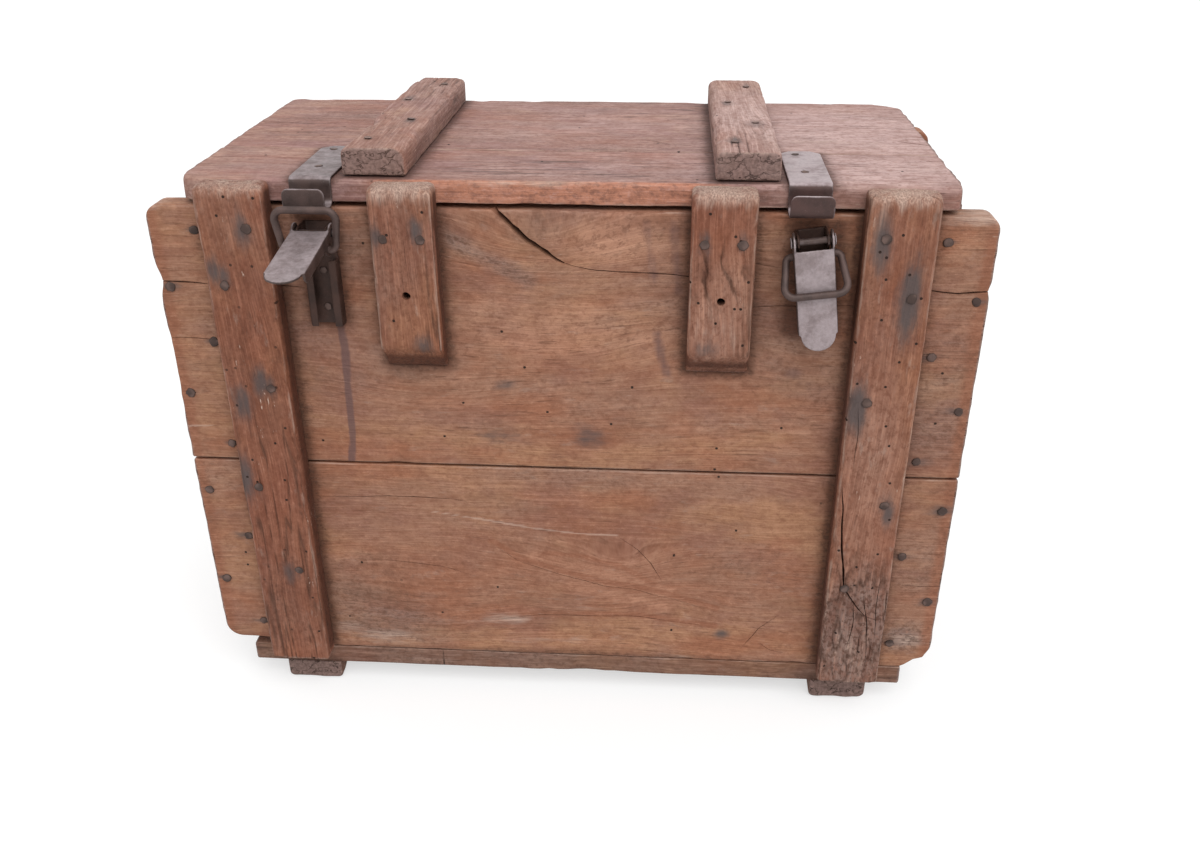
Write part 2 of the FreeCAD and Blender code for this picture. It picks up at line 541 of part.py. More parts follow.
def make_lever(side, x):
    """A pressed lever: a face with a round tongue, and two cheeks that carry both pivots."""
    label = f"{side}_latch_lever"
    body = new_body(label, x, PIVOT_Y, PIVOT_Z)
    half = "Size.lever_width / 2"
    face = "-1 * Size.lever_rise"
    under = "(Size.cheek_depth - Size.lever_rise)"
    foot = "-1 * Size.cheek_length"
    extrude(body, label + "_face", "XZ_Plane", face, "Size.sheet",
            rectangle(f"-1 * {half}", half, foot, "-1 * Size.lever_window"))
    for name, sign in SIDES:
        start = f"{half} - Size.sheet" if sign > 0 else f"-1 * {half}"
        extrude(body, f"{label}_{name}_cheek", "YZ_Plane", start, "Size.sheet", [
            (face, foot), (f"{under} - Size.cheek_nose", foot), (under, f"{foot} + Size.cheek_nose"),
            (under, "-1 * Size.cheek_step"),
            ("Size.crank_in + Size.crank_radius * 0.8", "-1 * Size.crank_down - Size.crank_radius * 0.6"),
            ("Size.cheek_radius", "0"), ("-1 * Size.cheek_radius", "0"), (face, "-1 * Size.lever_window")])
    edge_x = size(half)
    edge_y = size(face)
    dress(body, "Fillet", label + "_bends", "Size.sheet * 0.8",
          lambda edge: runs_along(edge, Z_AXIS) and passes(edge, y=edge_y)
          and abs(abs(edge.CenterOfMass.x) - edge_x) < TOUCH)
    extrude(body, label + "_tongue", "XZ_Plane", face, "Size.sheet",
            circle=("0", f"{foot} - Size.tongue_drop", "Size.tongue_radius"))
    for name, sign in SIDES:
        start = f"{half} - Size.sheet" if sign > 0 else f"-1 * {half}"
        extrude(body, f"{label}_{name}_pivot_boss", "YZ_Plane", start, "Size.sheet",
                circle=("0", "0", "Size.cheek_radius"))
        extrude(body, f"{label}_{name}_bail_boss", "YZ_Plane", start, "Size.sheet",
                circle=("Size.crank_in", "-1 * Size.crank_down", "Size.crank_radius"))
    holes = (("pivot", ("0", "0", "Size.pivot_radius + Size.running_fit")),
             ("bail", ("Size.crank_in", "-1 * Size.crank_down", "Size.wire_radius + Size.running_fit")))
    for name, circle in holes:
        extrude(body, f"{label}_{name}_hole", "YZ_Plane", f"-1 * {half}", "Size.lever_width",
                circle=circle, cut=True)
    return body


def make_bail(side):
    """A wire bail: ends turned in as pivots, legs that splay, a bar that goes into the hook.

    Its origin is the middle of its pivot axis and it stands along +Z, before it is turned.
    """
    label = f"{side}_latch_bail"
    body = new_body(label)
    pivot_end = "Size.lever_width / 2 - Size.sheet + Size.bail_end"
    foot = FreeCAD.Vector(size("Size.bail_foot"), 0, 0)
    head = FreeCAD.Vector(size("Size.bail_head"), size("Size.bail_length"), 0)
    leg = (head - foot).normalize()
    foot_turn = math.acos(leg.x)
    head_turn = math.pi - foot_turn
    foot_bend = size("Size.bail_foot_bend")
    head_bend = size("Size.bail_head_bend")
    foot_run = foot_bend * math.tan(foot_turn / 2)
    head_run = head_bend * math.tan(head_turn / 2)
    start = FreeCAD.Vector(size(pivot_end), 0, 0)
    before_foot = foot - X_AXIS * foot_run
    after_foot = foot + leg * foot_run
    before_head = head - leg * head_run
    after_head = head - X_AXIS * head_run
    middle = FreeCAD.Vector(0, head.y, 0)

    def bend(first, corner, last, centre):
        inward = (corner - centre).normalize() * (first - centre).Length
        return Part.Arc(first, centre + inward, last)

    path = sketch_on(body, label + "_path", "XZ_Plane", "0")
    foot_centre = before_foot + FreeCAD.Vector(0, foot_bend, 0)
    head_centre = after_head - FreeCAD.Vector(0, head_bend, 0)
    path.addGeometry(Part.LineSegment(start, before_foot))
    path.addGeometry(bend(before_foot, foot, after_foot, foot_centre))
    path.addGeometry(Part.LineSegment(after_foot, before_head))
    path.addGeometry(bend(before_head, head, after_head, head_centre))
    path.addGeometry(Part.LineSegment(after_head, middle))
    guide = path.addGeometry(Part.LineSegment(foot, head), True)
    hold_point(path, 0, 1, (pivot_end, "0"))
    hold_point(path, guide, 1, ("Size.bail_foot", "0"))
    hold_point(path, guide, 2, ("Size.bail_head", "Size.bail_length"))
    hold_point(path, 4, 2, ("0", "Size.bail_length"))
    path.addConstraint(Sketcher.Constraint("Horizontal", 0))
    path.addConstraint(Sketcher.Constraint("Horizontal", 4))
    path.addConstraint(Sketcher.Constraint("PointOnObject", 2, 1, guide))
    path.addConstraint(Sketcher.Constraint("PointOnObject", 2, 2, guide))
    # A bend runs counter-clockwise, so its ends are its first and last points in path order.
    for first in range(4):
        path.addConstraint(Sketcher.Constraint("Tangent", first, 2, first + 1, 1))
    for geometry, radius in ((1, "Size.bail_foot_bend"), (3, "Size.bail_head_bend")):
        index = path.addConstraint(Sketcher.Constraint("Radius", geometry, size(radius)))
        path.setExpression(f"Constraints[{index}]", radius)
    section = sketch_on(body, label + "_section", "YZ_Plane", pivot_end)
    draw_circle(section, ("0", "0"), "Size.wire_radius")
    doc.recompute()
    wire = body.newObject("PartDesign::AdditivePipe", label + "_half")
    wire.Profile = section
    wire.Spine = path
    doc.recompute()
    whole = body.newObject("PartDesign::Mirrored", label + "_whole")
    whole.Originals = [wire]
    plane = next(item for item in body.Origin.OriginFeatures if item.Role == "YZ_Plane")
    whole.MirrorPlane = (plane, [""])
    body.Tip = whole
    return body


def make_latches():
    tilt = FreeCAD.Rotation(Y_AXIS, -size("Size.right_latch_tilt"))
    lift = FreeCAD.Rotation(X_AXIS, -size("Size.lever_open"))
    level = FreeCAD.Rotation()
    stands = (
        ("left", "Size.left_latch_x", level, lift, "Size.left_bail_lean"),
        ("right", "Size.right_latch_x", tilt, level, "Size.right_bail_fold"),
    )
    for side, x, askew, opened, fold in stands:
        for fixed in (make_latch_base(side, x), make_latch_pin(side, x)):
            fixed.Placement.Rotation = askew
        lever = make_lever(side, x)
        lever.Placement.Rotation = askew.multiply(opened)
        bail = make_bail(side)
        doc.recompute()
        crank = FreeCAD.Vector(0, size("Size.crank_in"), -size("Size.crank_down"))
        for axis in "xyz":
            bail.setExpression(f"Placement.Base.{axis}", None)
        swing = FreeCAD.Rotation(X_AXIS, size(fold))
        bail.Placement = FreeCAD.Placement(lever.Placement.multVec(crank), askew.multiply(swing))


def make_hinges():
    """Butt hinges behind the lid: the lower leaf on the planks, the upper one on the lid's edge."""
    half = "Size.hinge_length / 2"
    middle = "Size.knuckle_length / 2"
    outer = f"({middle} + Size.knuckle_play)"
    face = "-1 * Size.hinge_out"
    clear = "Size.knuckle_radius + Size.leaf_edge"
    low_edge = "-1 * Size.leaf_edge"
    high_edge = "Size.leaf_edge"
    for side, sign in SIDES:
        place = (f"{sign} * Size.hinge_x", HINGE_Y, HINGE_Z)
        label = f"{side}_hinge_body_leaf"
        leaf = new_body(label, *place)
        low = "-1 * Size.body_leaf_height"
        extrude(leaf, label + "_plate", "XZ_Plane", face, "Size.sheet", [
            (f"-1 * {half}", low), (half, low), (half, low_edge), (outer, low_edge),
            (outer, f"-1 * ({clear})"), (f"-1 * {outer}", f"-1 * ({clear})"),
            (f"-1 * {outer}", low_edge), (f"-1 * {half}", low_edge)])
        for name, start in (("left", f"-1 * {half}"), ("right", outer)):
            extrude(leaf, f"{label}_{name}_knuckle", "YZ_Plane", start, f"{half} - {outer}",
                    circle=("0", "0", "Size.knuckle_radius"))
        extrude(leaf, label + "_bore", "YZ_Plane", f"-1 * {half}", "Size.hinge_length",
                circle=("0", "0", "Size.hinge_pin_radius"), cut=True)
        label = f"{side}_hinge_lid_leaf"
        leaf = new_body(label, *place)
        high = "Size.lid_leaf_height"
        extrude(leaf, label + "_plate", "XZ_Plane", face, "Size.sheet", [
            (f"-1 * {half}", high), (f"-1 * {half}", clear), (f"-1 * {middle}", clear),
            (f"-1 * {middle}", high_edge), (middle, high_edge), (middle, clear), (half, clear),
            (half, high)])
        extrude(leaf, label + "_knuckle", "YZ_Plane", f"-1 * {middle}", "Size.knuckle_length",
                circle=("0", "0", "Size.knuckle_radius"))
        extrude(leaf, label + "_bore", "YZ_Plane", f"-1 * {middle}", "Size.knuckle_length",
                circle=("0", "0", "Size.hinge_pin_radius + Size.running_fit"), cut=True)
        label = f"{side}_hinge_pin"
        pin = new_body(label, *place)
        extrude(pin, label + "_shank", "YZ_Plane", f"-1 * {half}", "Size.hinge_length",
                circle=("0", "0", "Size.hinge_pin_radius"))
        for name, start in (("left", f"-1 * {half} - Size.pin_head_rise"), ("right", half)):
            extrude(pin, f"{label}_{name}_head", "YZ_Plane", start, "Size.pin_head_rise",
                    circle=("0", "0", "Size.hinge_pin_head"))


def nail(point, into, length, head="Size.nail_head"):
    """A wrought nail driven at point along the direction into: a faceted head on a square shank."""
    radius = size(head) / 2
    rise = size("Size.nail_rise")
    side = size("Size.nail_shank")
    depth = size(length)

    def ring(ring_radius, z):
        step = 2 * math.pi / HEAD_SIDES
        points = [FreeCAD.Vector(ring_radius * math.cos(step * k), ring_radius * math.sin(step * k), z)
                  for k in range(HEAD_SIDES)]
        return Part.makePolygon(points + points[:1])

    top = Part.makeLoft([ring(radius, 0), ring(radius * HEAD_CROWN, rise)], True, True)
    shank = Part.makeBox(side, side, depth, FreeCAD.Vector(-side / 2, -side / 2, -depth))
    solid = top.fuse(shank).removeSplitter()
    solid.Placement = FreeCAD.Placement(point, FreeCAD.Rotation(Z_AXIS, into * -1))
    return solid


def nail_group(label, nails):
    """Like fasteners share one sub-part, as separate solids."""
    group = doc.addObject("Part::Feature", label)
    group.Label = label
    group.Shape = Part.makeCompound(nails)
    pieces.append(group)


def wall_nails(wall_y, into, batten_y, batten_heights):
    """Staggered nails along both plank ends, and a staggered row down each upright batten."""
    bottom = size(WALL_BOTTOM)
    half = size("Size.trunk_length / 2")
    nails = []
    for _, sign in SIDES:
        for index in range(END_NAILS):
            inset = size("Size.nail_edge") if index % 2 else size("Size.nail_row")
            z = bottom + size("Size.nail_first") + size("Size.nail_pitch") * index
            nails.append(nail(FreeCAD.Vector(sign * (half - inset), wall_y, z), into, "Size.wall_nail"))
        for index, height in enumerate(batten_heights):
            outward = 1 if index % 2 else -1
            x = sign * (size("Size.batten_x") + outward * size("Size.batten_nail_offset"))
            point = FreeCAD.Vector(x, batten_y, bottom + height)
            nails.append(nail(point, into, "Size.batten_nail"))
    return nails


def make_wall_nails():
    front = size(FRONT)
    back = size(BACK)
    thickness = size("Size.batten_thickness")
    front_nails = wall_nails(front, Y_AXIS, front - thickness, FRONT_BATTEN_NAILS)
    block_z = size(f"{LID_TOP} - Size.block_nail_drop")
    for _, sign in SIDES:
        for way in (-1, 1):
            x = sign * size("Size.block_x") + way * size("Size.block_nail_offset")
            front_nails.append(
                nail(FreeCAD.Vector(x, front - thickness, block_z), Y_AXIS, "Size.batten_nail"))
    nail_group("front_nails", front_nails)
    nail_group("back_nails", wall_nails(back, Y_AXIS * -1, back + thickness, BACK_BATTEN_NAILS))


def make_end_nails():
    nails = []
    cleat_y = size(f"{FRONT} + Size.wall_thickness + Size.cleat_width / 2")
    middle_y = size(f"({FRONT} + {BACK}) / 2")
    grip_z = size(f"{WALL_BOTTOM} + Size.hand_cleat_z + (Size.finger_height + Size.hand_cleat_height) / 2")
    for _, sign in SIDES:
        x = sign * size("Size.trunk_length / 2")
        places = [(middle_y + offset, grip_z) for offset in GRIP_NAILS]
        for y in (cleat_y, 2 * middle_y - cleat_y):
            places += [(y, size(WALL_BOTTOM) + height) for height in CLEAT_NAILS]
        for y, z in places:
            nails.append(nail(FreeCAD.Vector(x, y, z), X_AXIS * -sign, "Size.batten_nail"))
    nail_group("end_nails", nails)


def make_floor_nails():
    """Nails up into the front and back planks, and down through each floor board into the skids."""
    edge = size("Size.floor_nail_edge")
    level = size("Size.skid_thickness")
    nails = []
    for y in (size(FRONT) + edge, size(BACK) - edge):
        for x in FLOOR_NAILS:
            nails.append(nail(FreeCAD.Vector(x, y, level), Z_AXIS, "Size.floor_nail"))
    nail_group("floor_nails", nails)

    middle_y = size(f"({FRONT} + {BACK}) / 2")
    pitch = size("(Size.trunk_depth + Size.board_gap) / 3")
    offset = size("Size.skid_nail_offset")
    nails = []
    for _, sign in SIDES:
        for place in (-1, 0, 1):
            for way in (-1, 1):
                point = FreeCAD.Vector(sign * size("Size.skid_x"), middle_y + place * pitch + way * offset,
                                       size(WALL_BOTTOM))
                nails.append(nail(point, Z_AXIS * -1, "Size.skid_nail"))
    nail_group("skid_nails", nails)


def make_lid_nails():
    down = Z_AXIS * -1
    front = size(FRONT)
    nails = []
    top = size(f"{LID_TOP} + Size.lid_batten_height")
    for x in (-size("Size.lid_batten_left"), size("Size.lid_batten_right")):
        for index, drop in enumerate(LID_BATTEN_NAILS):
            way = 1 if index % 2 else -1
            point = FreeCAD.Vector(x + way * size("Size.lid_nail_offset"), front + drop, top)
            nails.append(nail(point, down, "Size.lid_nail"))
    nail_group("lid_nails", nails)

    nails = []
    strap_top = size(f"{LID_TOP} + Size.sheet")
    for side, _ in SIDES:
        for offset, drop in HOOK_NAILS:
            point = FreeCAD.Vector(size(f"Size.{side}_hook_x") + offset, front + drop, strap_top)
            nails.append(nail(point, down, "Size.fitting_nail", "Size.fitting_head"))
    nail_group("hook_nails", nails)


def make_latch_nails():
    nails = []
    for side, _ in SIDES:
        base = doc.getObject(f"{side}_latch_base")
        for drop in LATCH_NAILS:
            seat = FreeCAD.Vector(0, size("Size.pivot_out - Size.sheet"), -drop)
            nails.append(nail(base.Placement.multVec(seat), Y_AXIS, "Size.fitting_nail", "Size.fitting_head"))
    nail_group("latch_nails", nails)


def make_hinge_screws():
    leaf_y = size(f"{BACK} + Size.sheet")
    axis_z = size(HINGE_Z)
    for label, seats in (("hinge_body_screws", BODY_LEAF_SCREWS), ("hinge_lid_screws", LID_LEAF_SCREWS)):
        screws = []
        for _, sign in SIDES:
            for offset, rise in seats:
                point = FreeCAD.Vector(sign * size("Size.hinge_x") + offset, leaf_y, axis_z + rise)
                screws.append(nail(point, Y_AXIS * -1, "Size.fitting_nail", "Size.screw_head"))
        nail_group(label, screws)


def check_document():
    """Stops the build at the first object that failed, before anything is written."""
    doc.recompute()
    for item in doc.Objects:
        if {"Invalid", "Error"} & set(item.State):
            raise RuntimeError(f"{item.Label} failed: {item.State}")
    for piece in pieces:
        if piece.Shape.isNull() or not piece.Shape.isValid():
            raise RuntimeError(f"{piece.Label} has no valid shape")


def write_parts():
    os.makedirs("parts", exist_ok=True)
    for piece in pieces:
        piece.Shape.exportStep(os.path.join("parts", piece.Label + ".step"))


make_walls()
make_floor()
make_end_cleats()
make_uprights()
make_lid()
make_hooks()
make_latches()
make_hinges()
make_wall_nails()
make_end_nails()
make_floor_nails()
make_lid_nails()
make_latch_nails()
make_hinge_screws()
check_document()
write_parts()
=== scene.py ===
"""Looks of a nailed plank trunk: aged boards, worn steel latches, hinges and driven nails.

Lengths are metres. X runs along the trunk, Y from its front to its back and Z up.
Each board is built in its own frame: along its grain, across its width and out through its face.
"""
import functools
import math
import random

import bmesh
import bpy
import numpy as np
from bpy.props import FloatProperty, FloatVectorProperty, PointerProperty
from mathutils import Matrix, Vector, noise


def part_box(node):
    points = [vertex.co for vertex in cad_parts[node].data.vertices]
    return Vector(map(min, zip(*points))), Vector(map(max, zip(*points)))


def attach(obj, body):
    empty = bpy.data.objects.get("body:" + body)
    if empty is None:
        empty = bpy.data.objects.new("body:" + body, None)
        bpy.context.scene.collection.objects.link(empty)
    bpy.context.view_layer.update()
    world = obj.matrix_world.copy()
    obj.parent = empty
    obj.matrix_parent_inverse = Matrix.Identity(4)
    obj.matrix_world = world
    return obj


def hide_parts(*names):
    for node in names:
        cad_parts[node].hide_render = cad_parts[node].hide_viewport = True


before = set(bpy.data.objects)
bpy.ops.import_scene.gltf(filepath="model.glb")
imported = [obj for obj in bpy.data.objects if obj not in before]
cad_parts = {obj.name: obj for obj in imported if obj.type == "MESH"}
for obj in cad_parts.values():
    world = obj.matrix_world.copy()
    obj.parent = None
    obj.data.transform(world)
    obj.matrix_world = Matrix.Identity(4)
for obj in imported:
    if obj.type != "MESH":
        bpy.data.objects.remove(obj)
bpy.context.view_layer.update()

bl_info = {
    "name": "Plank trunk",
    "version": (1, 0, 0),
    "blender": (4, 5, 0),
    "location": "View3D > Sidebar > Trunk",
    "description": "Dresses the packed trunk with aged boards, worn latches and driven nails",
    "category": "Object",
}

MM = 0.001
X_WAY = Vector((1, 0, 0))
Y_WAY = Vector((0, 1, 0))
Z_WAY = Vector((0, 0, 1))
SIDES = (("left", -1), ("right", 1))
WHITE = (1.0, 1.0, 1.0, 1.0)


def colour_property(name, words, default):
    return FloatVectorProperty(name=name, description=words, default=default, size=3, min=0.0, max=1.0,
                               subtype="COLOR")


def length_property(name, words, millimetres):
    return FloatProperty(name=name, description=words, default=millimetres * MM, min=0.0, subtype="DISTANCE",
                         unit="LENGTH")


def angle_property(name, words, degrees):
    return FloatProperty(name=name, description=words, default=math.radians(degrees), subtype="ANGLE",
                         unit="ROTATION")


class TrunkWood(bpy.types.PropertyGroup):
    """Colours and wear of the boards."""

    plank: colour_property("Plank", "Aged planks of the walls", (0.372, 0.198, 0.130))
    batten: colour_property("Batten", "Battens, stops and cleats", (0.305, 0.140, 0.089))
    lid: colour_property("Lid", "Weathered planks of the lid", (0.378, 0.234, 0.206))
    lid_batten: colour_property("Lid batten", "Weathered battens of the lid", (0.385, 0.240, 0.205))
    floor: colour_property("Floor", "Rough floor boards and runners", (0.250, 0.140, 0.098))
    worn: colour_property("Worn edge", "Bare fibres at worn edges", (0.520, 0.370, 0.300))
    weathered: colour_property("Weathered", "Greyed patches", (0.268, 0.196, 0.170))
    end_grain: colour_property("End grain", "Dark sawn ends", (0.205, 0.136, 0.120))
    stain: colour_property("Iron stain", "Dark halo round a nail", (0.092, 0.073, 0.071))
    drip: colour_property("Drip", "Run below the lifted latch", (0.140, 0.078, 0.074))
    ring_width: length_property("Ring width", "Growth rings of the planks", 5.0)
    relief: FloatProperty(name="Relief", description="Depth of the boards' unevenness and fissures",
                          default=1.0, min=0.0)


class TrunkSteel(bpy.types.PropertyGroup):
    """Colours and wear of the fittings."""

    # The bright colour of steel worn by use, also laid as a painted sheen on faces turned to the light
    rubbed_and_lit: colour_property("Rubbed steel", "Where hands and use keep it bright", (0.385, 0.318, 0.326))
    patina: colour_property("Patina", "Brown, dull steel", (0.062, 0.038, 0.033))
    rust: colour_property("Rust", "Rusted spots", (0.105, 0.058, 0.042))
    nail: colour_property("Nail", "Old nail heads", (0.105, 0.068, 0.058))
    latch_voxel: length_property("Latch voxel", "Mesh step of the latches and hooks", 0.6)
    hinge_voxel: length_property("Hinge voxel", "Mesh step of the hinges", 0.8)
    dent: length_property("Dents", "Unevenness of the pressed steel", 0.16)


class TrunkStage(bpy.types.PropertyGroup):
    """Camera, floor and light."""

    eye: FloatVectorProperty(name="Eye", description="Place of the camera", default=(0.0743, -0.8506, 0.6549),
                             size=3, subtype="XYZ", unit="LENGTH")
    yaw: angle_property("Yaw", "Turn of the view to the right", -3.762)
    pitch: angle_property("Pitch", "Tilt of the view upward", -27.743)
    roll: angle_property("Roll", "Roll of the view", -0.248)
    lens: FloatProperty(name="Lens", description="Focal length for a 36 mm wide sensor", default=33.48,
                        min=1.0, unit="CAMERA")
    floor: FloatProperty(name="Floor", description="How much light the floor throws back", default=0.45,
                         min=0.0, max=1.0)
    sky: FloatProperty(name="Sky", description="Strength of the even light", default=0.86, min=0.0)
    sun: FloatProperty(name="Lamp", description="Strength of the broad lamp above", default=1.60, min=0.0)
    sun_way: FloatVectorProperty(name="Lamp way", description="Way from the trunk to the lamp",
                                 default=(0.24, -0.58, 0.78), size=3, subtype="DIRECTION")
    sun_spread: angle_property("Lamp spread", "Breadth of the lamp seen from the trunk", 50)


def wood_settings():
    return bpy.context.scene.trunk_wood


def steel_settings():
    return bpy.context.scene.trunk_steel


def stage_settings():
    return bpy.context.scene.trunk_stage


# Shader graphs

class Graph:
    """A node tree with short calls that add a node, set its inputs and give back its output.

    Its colour is what the coats have laid so far.
    """

    def __init__(self, tree):
        self.tree = tree
        self.colour = None

    def put(self, socket, value):
        if isinstance(value, bpy.types.NodeSocket):
            self.tree.links.new(value, socket)
        else:
            socket.default_value = value

    def add(self, kind, inputs=(), **settings):
        made = self.tree.nodes.new(kind)
        for name, value in settings.items():
            setattr(made, name, value)
        for key, value in dict(inputs).items():
            self.put(made.inputs[key], value)
        return made

    def math(self, operation, first, second=0.0, clamp=False):
        made = self.add("ShaderNodeMath", {0: first, 1: second}, operation=operation, use_clamp=clamp)
        return made.outputs[0]

    def stretch(self, vector, scales):
        made = self.add("ShaderNodeVectorMath", {0: vector, 1: scales}, operation="MULTIPLY")
        return made.outputs[0]

    def shift(self, vector, offset):
        made = self.add("ShaderNodeVectorMath", {0: vector, 1: offset}, operation="ADD")
        return made.outputs[0]

    def noise(self, vector, scale=1.0, detail=3.0, roughness=0.55):
        made = self.add("ShaderNodeTexNoise", {"Vector": vector, "Scale": scale, "Detail": detail,
                                               "Roughness": roughness})
        return made.outputs["Fac"]

    def streaks(self, vector, scales, detail=3.0, roughness=0.55):
        """Noise stretched by a scale for each axis."""
        return self.noise(self.stretch(vector, scales), 1.0, detail, roughness)

    def step(self, value, low, high, to_low=0.0, to_high=1.0):
        """A smooth step from one value to another, between low and high."""
        made = self.add("ShaderNodeMapRange", {"Value": value, "From Min": low, "From Max": high,
                                               "To Min": to_low, "To Max": to_high},
                        interpolation_type="SMOOTHSTEP")
        return made.outputs["Result"]

    def mix(self, factor, first, second):
        made = self.add("ShaderNodeMix", {"Factor": factor}, data_type="RGBA")
        colours = [socket for socket in made.inputs if socket.type == "RGBA"]
        for socket, value in zip(colours, (first, second)):
            self.put(socket, value if isinstance(value, bpy.types.NodeSocket) else (*value, 1.0))
        return next(socket for socket in made.outputs if socket.type == "RGBA")

    def mask(self, name):
        return self.add("ShaderNodeAttribute", attribute_name=name).outputs["Fac"]

    def place(self):
        return self.add("ShaderNodeAttribute", attribute_name="place").outputs["Vector"]

    def group(self, tree, **inputs):
        """Adds a node group; an input's name has a _ where its label has a space."""
        made = self.add("ShaderNodeGroup", node_tree=tree)
        for name, value in inputs.items():
            self.put(made.inputs[name.replace("_", " ")], value)
        return made.outputs

    def part(self, value, share):
        return self.math("MULTIPLY", value, share)

    def coat(self, mask, share, over):
        """Lays a colour over what there is so far, by a share of a mask."""
        self.colour = self.mix(self.part(mask, share), self.colour, over)


FLOAT = "NodeSocketFloat"
VECTOR = "NodeSocketVector"


def shader_group(name, inputs, outputs, wire):
    """A node group built once, from inputs as (name, kind, default) and outputs as names of floats.

    The wire function joins them inside and gives back the outputs' values by name.
    """
    if name in bpy.data.node_groups:
        return bpy.data.node_groups[name]
    tree = bpy.data.node_groups.new(name, "ShaderNodeTree")
    for label, kind, default in inputs:
        socket = tree.interface.new_socket(label, in_out="INPUT", socket_type=kind)
        if default is not None:
            socket.default_value = default
    for label in outputs:
        tree.interface.new_socket(label, in_out="OUTPUT", socket_type=FLOAT)
    graph = Graph(tree)
    entry = tree.nodes.new("NodeGroupInput")
    leave = tree.nodes.new("NodeGroupOutput")
    for label, value in wire(graph, entry.outputs).items():
        graph.put(leave.inputs[label], value)
    return tree


def grain_group():
    """Growth rings cut by the board's faces, and streaks and fibres along it."""

    def wire(graph, entry):
        place = entry["Place"]
        axes = graph.add("ShaderNodeSeparateXYZ", {0: place}).outputs
        warp = graph.streaks(place, (2.2, 9.0, 9.0), 2.0)
        ripple = graph.streaks(place, (9.0, 40.0, 40.0), 2.0)
        bent = graph.math("MULTIPLY", graph.math("SUBTRACT", warp, 0.5), entry["Warp"])
        bent = graph.math("ADD", bent, graph.math("MULTIPLY", ripple, 0.006))
        # The grain runs along the board but strays with the bend.
        across = graph.math("ADD", axes["Y"], bent)
        flow = graph.add("ShaderNodeCombineXYZ", {0: axes["X"], 1: across, 2: axes["Z"]}).outputs[0]
        square = graph.math("ADD", graph.math("MULTIPLY", across, across),
                            graph.math("MULTIPLY", axes["Z"], axes["Z"]))
        phase = graph.math("DIVIDE", graph.math("SQRT", square), entry["Ring Width"])
        saw = graph.math("FRACT", phase)
        late = graph.math("MULTIPLY", graph.math("POWER", saw, 3.0), graph.step(saw, 1.0, 0.9))
        uneven = graph.step(graph.streaks(place, (7.0, 24.0, 24.0), 3.0), 0.36, 0.66)
        rings = graph.math("MULTIPLY", late, uneven)
        streak = graph.streaks(flow, (6.0, 110.0, 110.0), 4.0, 0.62)
        fine = graph.streaks(flow, (17.0, 330.0, 330.0), 3.0, 0.62)
        fibre = graph.streaks(flow, (28.0, 900.0, 900.0), 3.0, 0.62)
        ticks = graph.streaks(flow, (46.0, 420.0, 420.0), 2.0, 0.5)
        ticks = graph.math("MULTIPLY", graph.step(ticks, 0.62, 0.72), graph.step(uneven, 0.1, 0.8))
        return {"Rings": rings, "Streak": streak, "Fine": fine, "Fibre": fibre, "Ticks": ticks}

    return shader_group("Plank grain", [("Place", VECTOR, None), ("Ring Width", FLOAT, 0.005),
                                        ("Warp", FLOAT, 0.06)],
                        ("Rings", "Streak", "Fine", "Fibre", "Ticks"), wire)


# Each kind of patch has a noise scale, and the noise where it begins and where it is full.
BLOTCHES = {
    "Grey": ((6.0, 13.0, 13.0), 0.46, 0.68),
    "Red": ((8.0, 22.0, 22.0), 0.44, 0.64),
    "Golden": ((7.0, 18.0, 18.0), 0.44, 0.62),
    "Dirt": ((17.0, 34.0, 34.0), 0.50, 0.74),
    "Dusk": ((13.0, 20.0, 20.0), 0.46, 0.66),
    "Scuff": ((44.0, 110.0, 110.0), 0.60, 0.76),
}


def blotch_group():
    """Patches of greyed, reddened, golden, dirty, dull and scuffed wood."""

    def wire(graph, entry):
        patches = {}
        for number, (name, (scale, low, high)) in enumerate(BLOTCHES.items()):
            moved = graph.shift(entry["Place"], (1.0 + 7.0 * number, 3.0 * number, 1.0))
            patches[name] = graph.step(graph.streaks(moved, scale, 5.0, 0.62), low, high)
        return patches

    return shader_group("Blotches", [("Place", VECTOR, None)], BLOTCHES, wire)


def fray_group():
    """Breaks a soft mask into the ragged patches of worn wood or rubbed steel."""

    def wire(graph, entry):
        ragged = graph.streaks(entry["Place"], entry["Stretch"], 4.0, 0.65)
        raised = graph.math("ADD", entry["Mask"],
                            graph.math("MULTIPLY", graph.math("SUBTRACT", ragged, 0.5), entry["Breakup"]))
        return {"Worn": graph.step(raised, entry["Low"], entry["High"])}

    return shader_group("Fray", [("Place", VECTOR, None), ("Mask", FLOAT, 0.0),
                                 ("Stretch", VECTOR, (40.0, 220.0, 220.0)), ("Breakup", FLOAT, 1.2),
                                 ("Low", FLOAT, 0.4), ("High", FLOAT, 0.8)], ("Worn",), wire)


def speck_group():
    """Scattered round spots, such as worm holes."""

    def wire(graph, entry):
        cells = graph.add("ShaderNodeTexVoronoi", {"Vector": entry["Place"], "Scale": entry["Scale"]},
                          voronoi_dimensions="2D")
        chance = graph.add("ShaderNodeSeparateColor", {0: cells.outputs["Color"]}).outputs
        spot = graph.step(cells.outputs["Distance"], entry["Size"], graph.part(entry["Size"], 0.6))
        kept = graph.math("LESS_THAN", chance[0], entry["Share"])
        return {"Spot": graph.math("MULTIPLY", spot, kept)}

    return shader_group("Specks", [("Place", VECTOR, None), ("Scale", FLOAT, 80.0), ("Size", FLOAT, 0.09),
                                   ("Share", FLOAT, 0.5)], ("Spot",), wire)


def new_material(name):
    """A material with one Principled shader, and its graph."""
    made = bpy.data.materials.new(name)
    made.use_nodes = True
    tree = made.node_tree
    shader = next(node for node in tree.nodes if node.type == "BSDF_PRINCIPLED")
    return made, Graph(tree), shader


